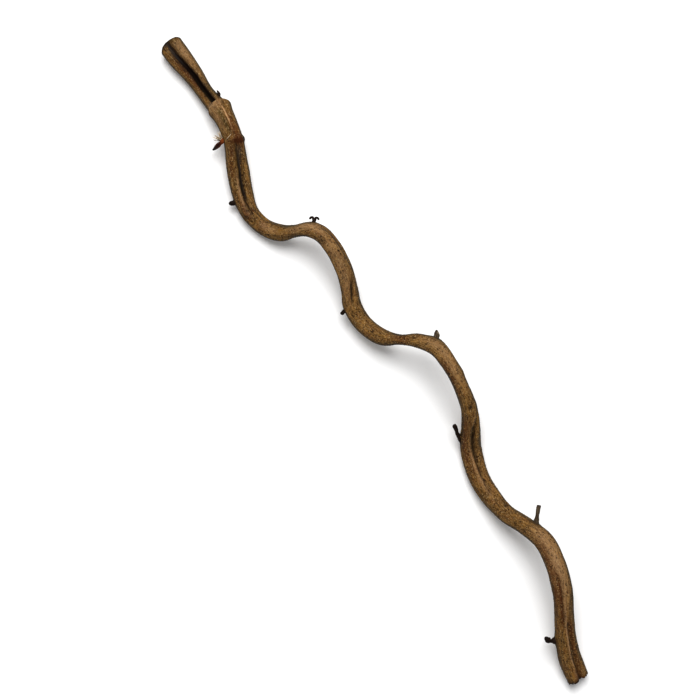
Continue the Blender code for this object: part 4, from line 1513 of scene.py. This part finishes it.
def bark_surface(group):
    """Grain, bands with some painted highlight, specks, painted shade in the grooves, ring, dark marks, film
    and shaded edges, each over the one before.
    """
    surface = Surface("liana bark", BARK_ROUGHNESS, COLOURS["mid brown"])
    tree = surface.tree
    grain = surface.grain(group)
    surface.lay("tan", grain["Patches"])
    for name, tint, share in GRAIN_TINTS:
        surface.lay(tint, product(tree, grain[name], share))
    fibrous = value_range(tree, grain["Fibres"], 0.0, 1.0, *BAND_FIBRES)
    for name, tint in BAND_TINTS:
        surface.lay(tint, product(tree, surface.mask(name), fibrous))
    for name, tint, share in SPECK_TINTS:
        surface.lay(tint, product(tree, grain[name], share))
    uneven = value_range(tree, grain["Fibres"], 0.0, 1.0, FRAYING, -FRAYING)
    # The grooves are darkened with painted shade, the more the deeper they are
    deep = surface.mask("hollow")
    frayed = product(tree, uneven, value_range(tree, deep, 0.0, FRAYING_FROM))
    surface.lay("groove", value_range(tree, added(tree, deep, frayed), *GROOVE_SHADE_RANGE))
    ring = added(tree, surface.mask("ring"), uneven)
    surface.lay("ring", value_range(tree, ring, *RING_RANGE))
    surface.lay("groove", product(tree, value_range(tree, ring, *RING_PIT_RANGE), grain["Dark specks"]))
    # The dark marks, with painted shade in the slits, the notch of the break and the gap between the strands
    surface.lay("groove", surface.mask("dark"))
    streaky = value_range(tree, grain["Streaks"], 0.0, 1.0, *FILM_STREAKS)
    surface.lay("film", product(tree, surface.mask("film"), streaky))
    facing = new_node(tree, "ShaderNodeLayerWeight", {"Blend": 0.5}).outputs["Facing"]
    surface.lay("edge shade", value_range(tree, facing, *EDGE_SHADE))
    return surface.finish(grain["Height"], BARK_BUMP * MM)


def grained_surface(name, group, low, high, roughness, distance, marks):
    """Two colours of the grain, then a tint for each mask named in `marks`."""
    surface = Surface(name, roughness, COLOURS[low])
    grain = surface.grain(group)
    surface.lay(high, grain["Fibres"])
    for mask, tint in marks:
        surface.lay(tint, surface.mask(mask))
    return surface.finish(grain["Height"], distance * MM)


def floor_and_light():
    mesh = bpy.data.meshes.new("pale floor")
    corners = [(-FLOOR_HALF, -FLOOR_HALF, 0), (FLOOR_HALF, -FLOOR_HALF, 0)]
    corners += [(FLOOR_HALF, FLOOR_HALF, 0), (-FLOOR_HALF, FLOOR_HALF, 0)]
    mesh.from_pydata(corners, [], [(0, 1, 2, 3)])
    mesh.materials.append(Surface("pale paper floor", FLOOR_ROUGHNESS, FLOOR_COLOUR, FLOOR_SPECULAR).finish())
    floor = linked("pale floor", mesh)
    lamp = bpy.data.lights.new("soft studio light", "AREA")
    lamp.shape = "DISK"
    lamp.size = LIGHT_SIZE
    lamp.energy = LIGHT_POWER
    key = linked("soft studio light", lamp)
    key.location = unit(np.array(LIGHT_TOWARDS)) * LIGHT_DISTANCE
    key.rotation_euler = key.location.to_track_quat("Z", "Y").to_euler()
    world = bpy.data.worlds.new("studio fill")
    world.use_nodes = True
    fill = world.node_tree.nodes["Background"]
    fill.inputs["Color"].default_value = (*FILL_COLOUR, 1.0)
    fill.inputs["Strength"].default_value = FILL_STRENGTH
    bpy.context.scene.world = world


def camera_above():
    """The photo's camera: it looks straight down, and the stem runs from upper left to lower right."""
    lens = bpy.data.cameras.new("photo camera")
    lens.sensor_width = CAMERA_SENSOR
    lens.lens = CAMERA_LENS
    lens.clip_end = CAMERA_FAR
    camera = linked("photo camera", lens)
    place = Matrix.Translation([value * MM for value in CAMERA_PLACE])
    camera.matrix_world = place @ Matrix.Rotation(math.radians(CAMERA_TURN), 4, "Z")
    bpy.context.scene.camera = camera
    bpy.context.scene.view_settings.view_transform = "Standard"
    bpy.context.scene.view_settings.gamma = PICTURE_GAMMA


def main():
    stem = Stem()
    stand_on_floor(stem)
    group = grain_group()
    bark = bark_surface(group)
    grained = {name: grained_surface(name, group, *row) for name, row in GRAINED_SURFACES.items()}
    plain = {name: Surface(name, row[0], COLOURS[row[1]]).finish() for name, row in PLAIN_SURFACES.items()}
    whole = make_stem(stem, [bark, grained["sawn wood"], grained["broken pith"]])
    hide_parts("stem")
    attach(whole, "root")
    for seed, (name, (piece_name, knobs, round_tip, surface)) in enumerate(TWIG_PIECES.items()):
        make_twig(stem, name, piece_name, TWIG_SEED + seed, grained[surface], knobs, round_tip)
    make_leaf_base(stem, grained["dried leaf base"])
    make_warts(whole, plain)
    make_tufts(stem, plain)
    make_cross_fibre(stem, plain["straw-coloured fibre"])
    floor_and_light()
    camera_above()


main()
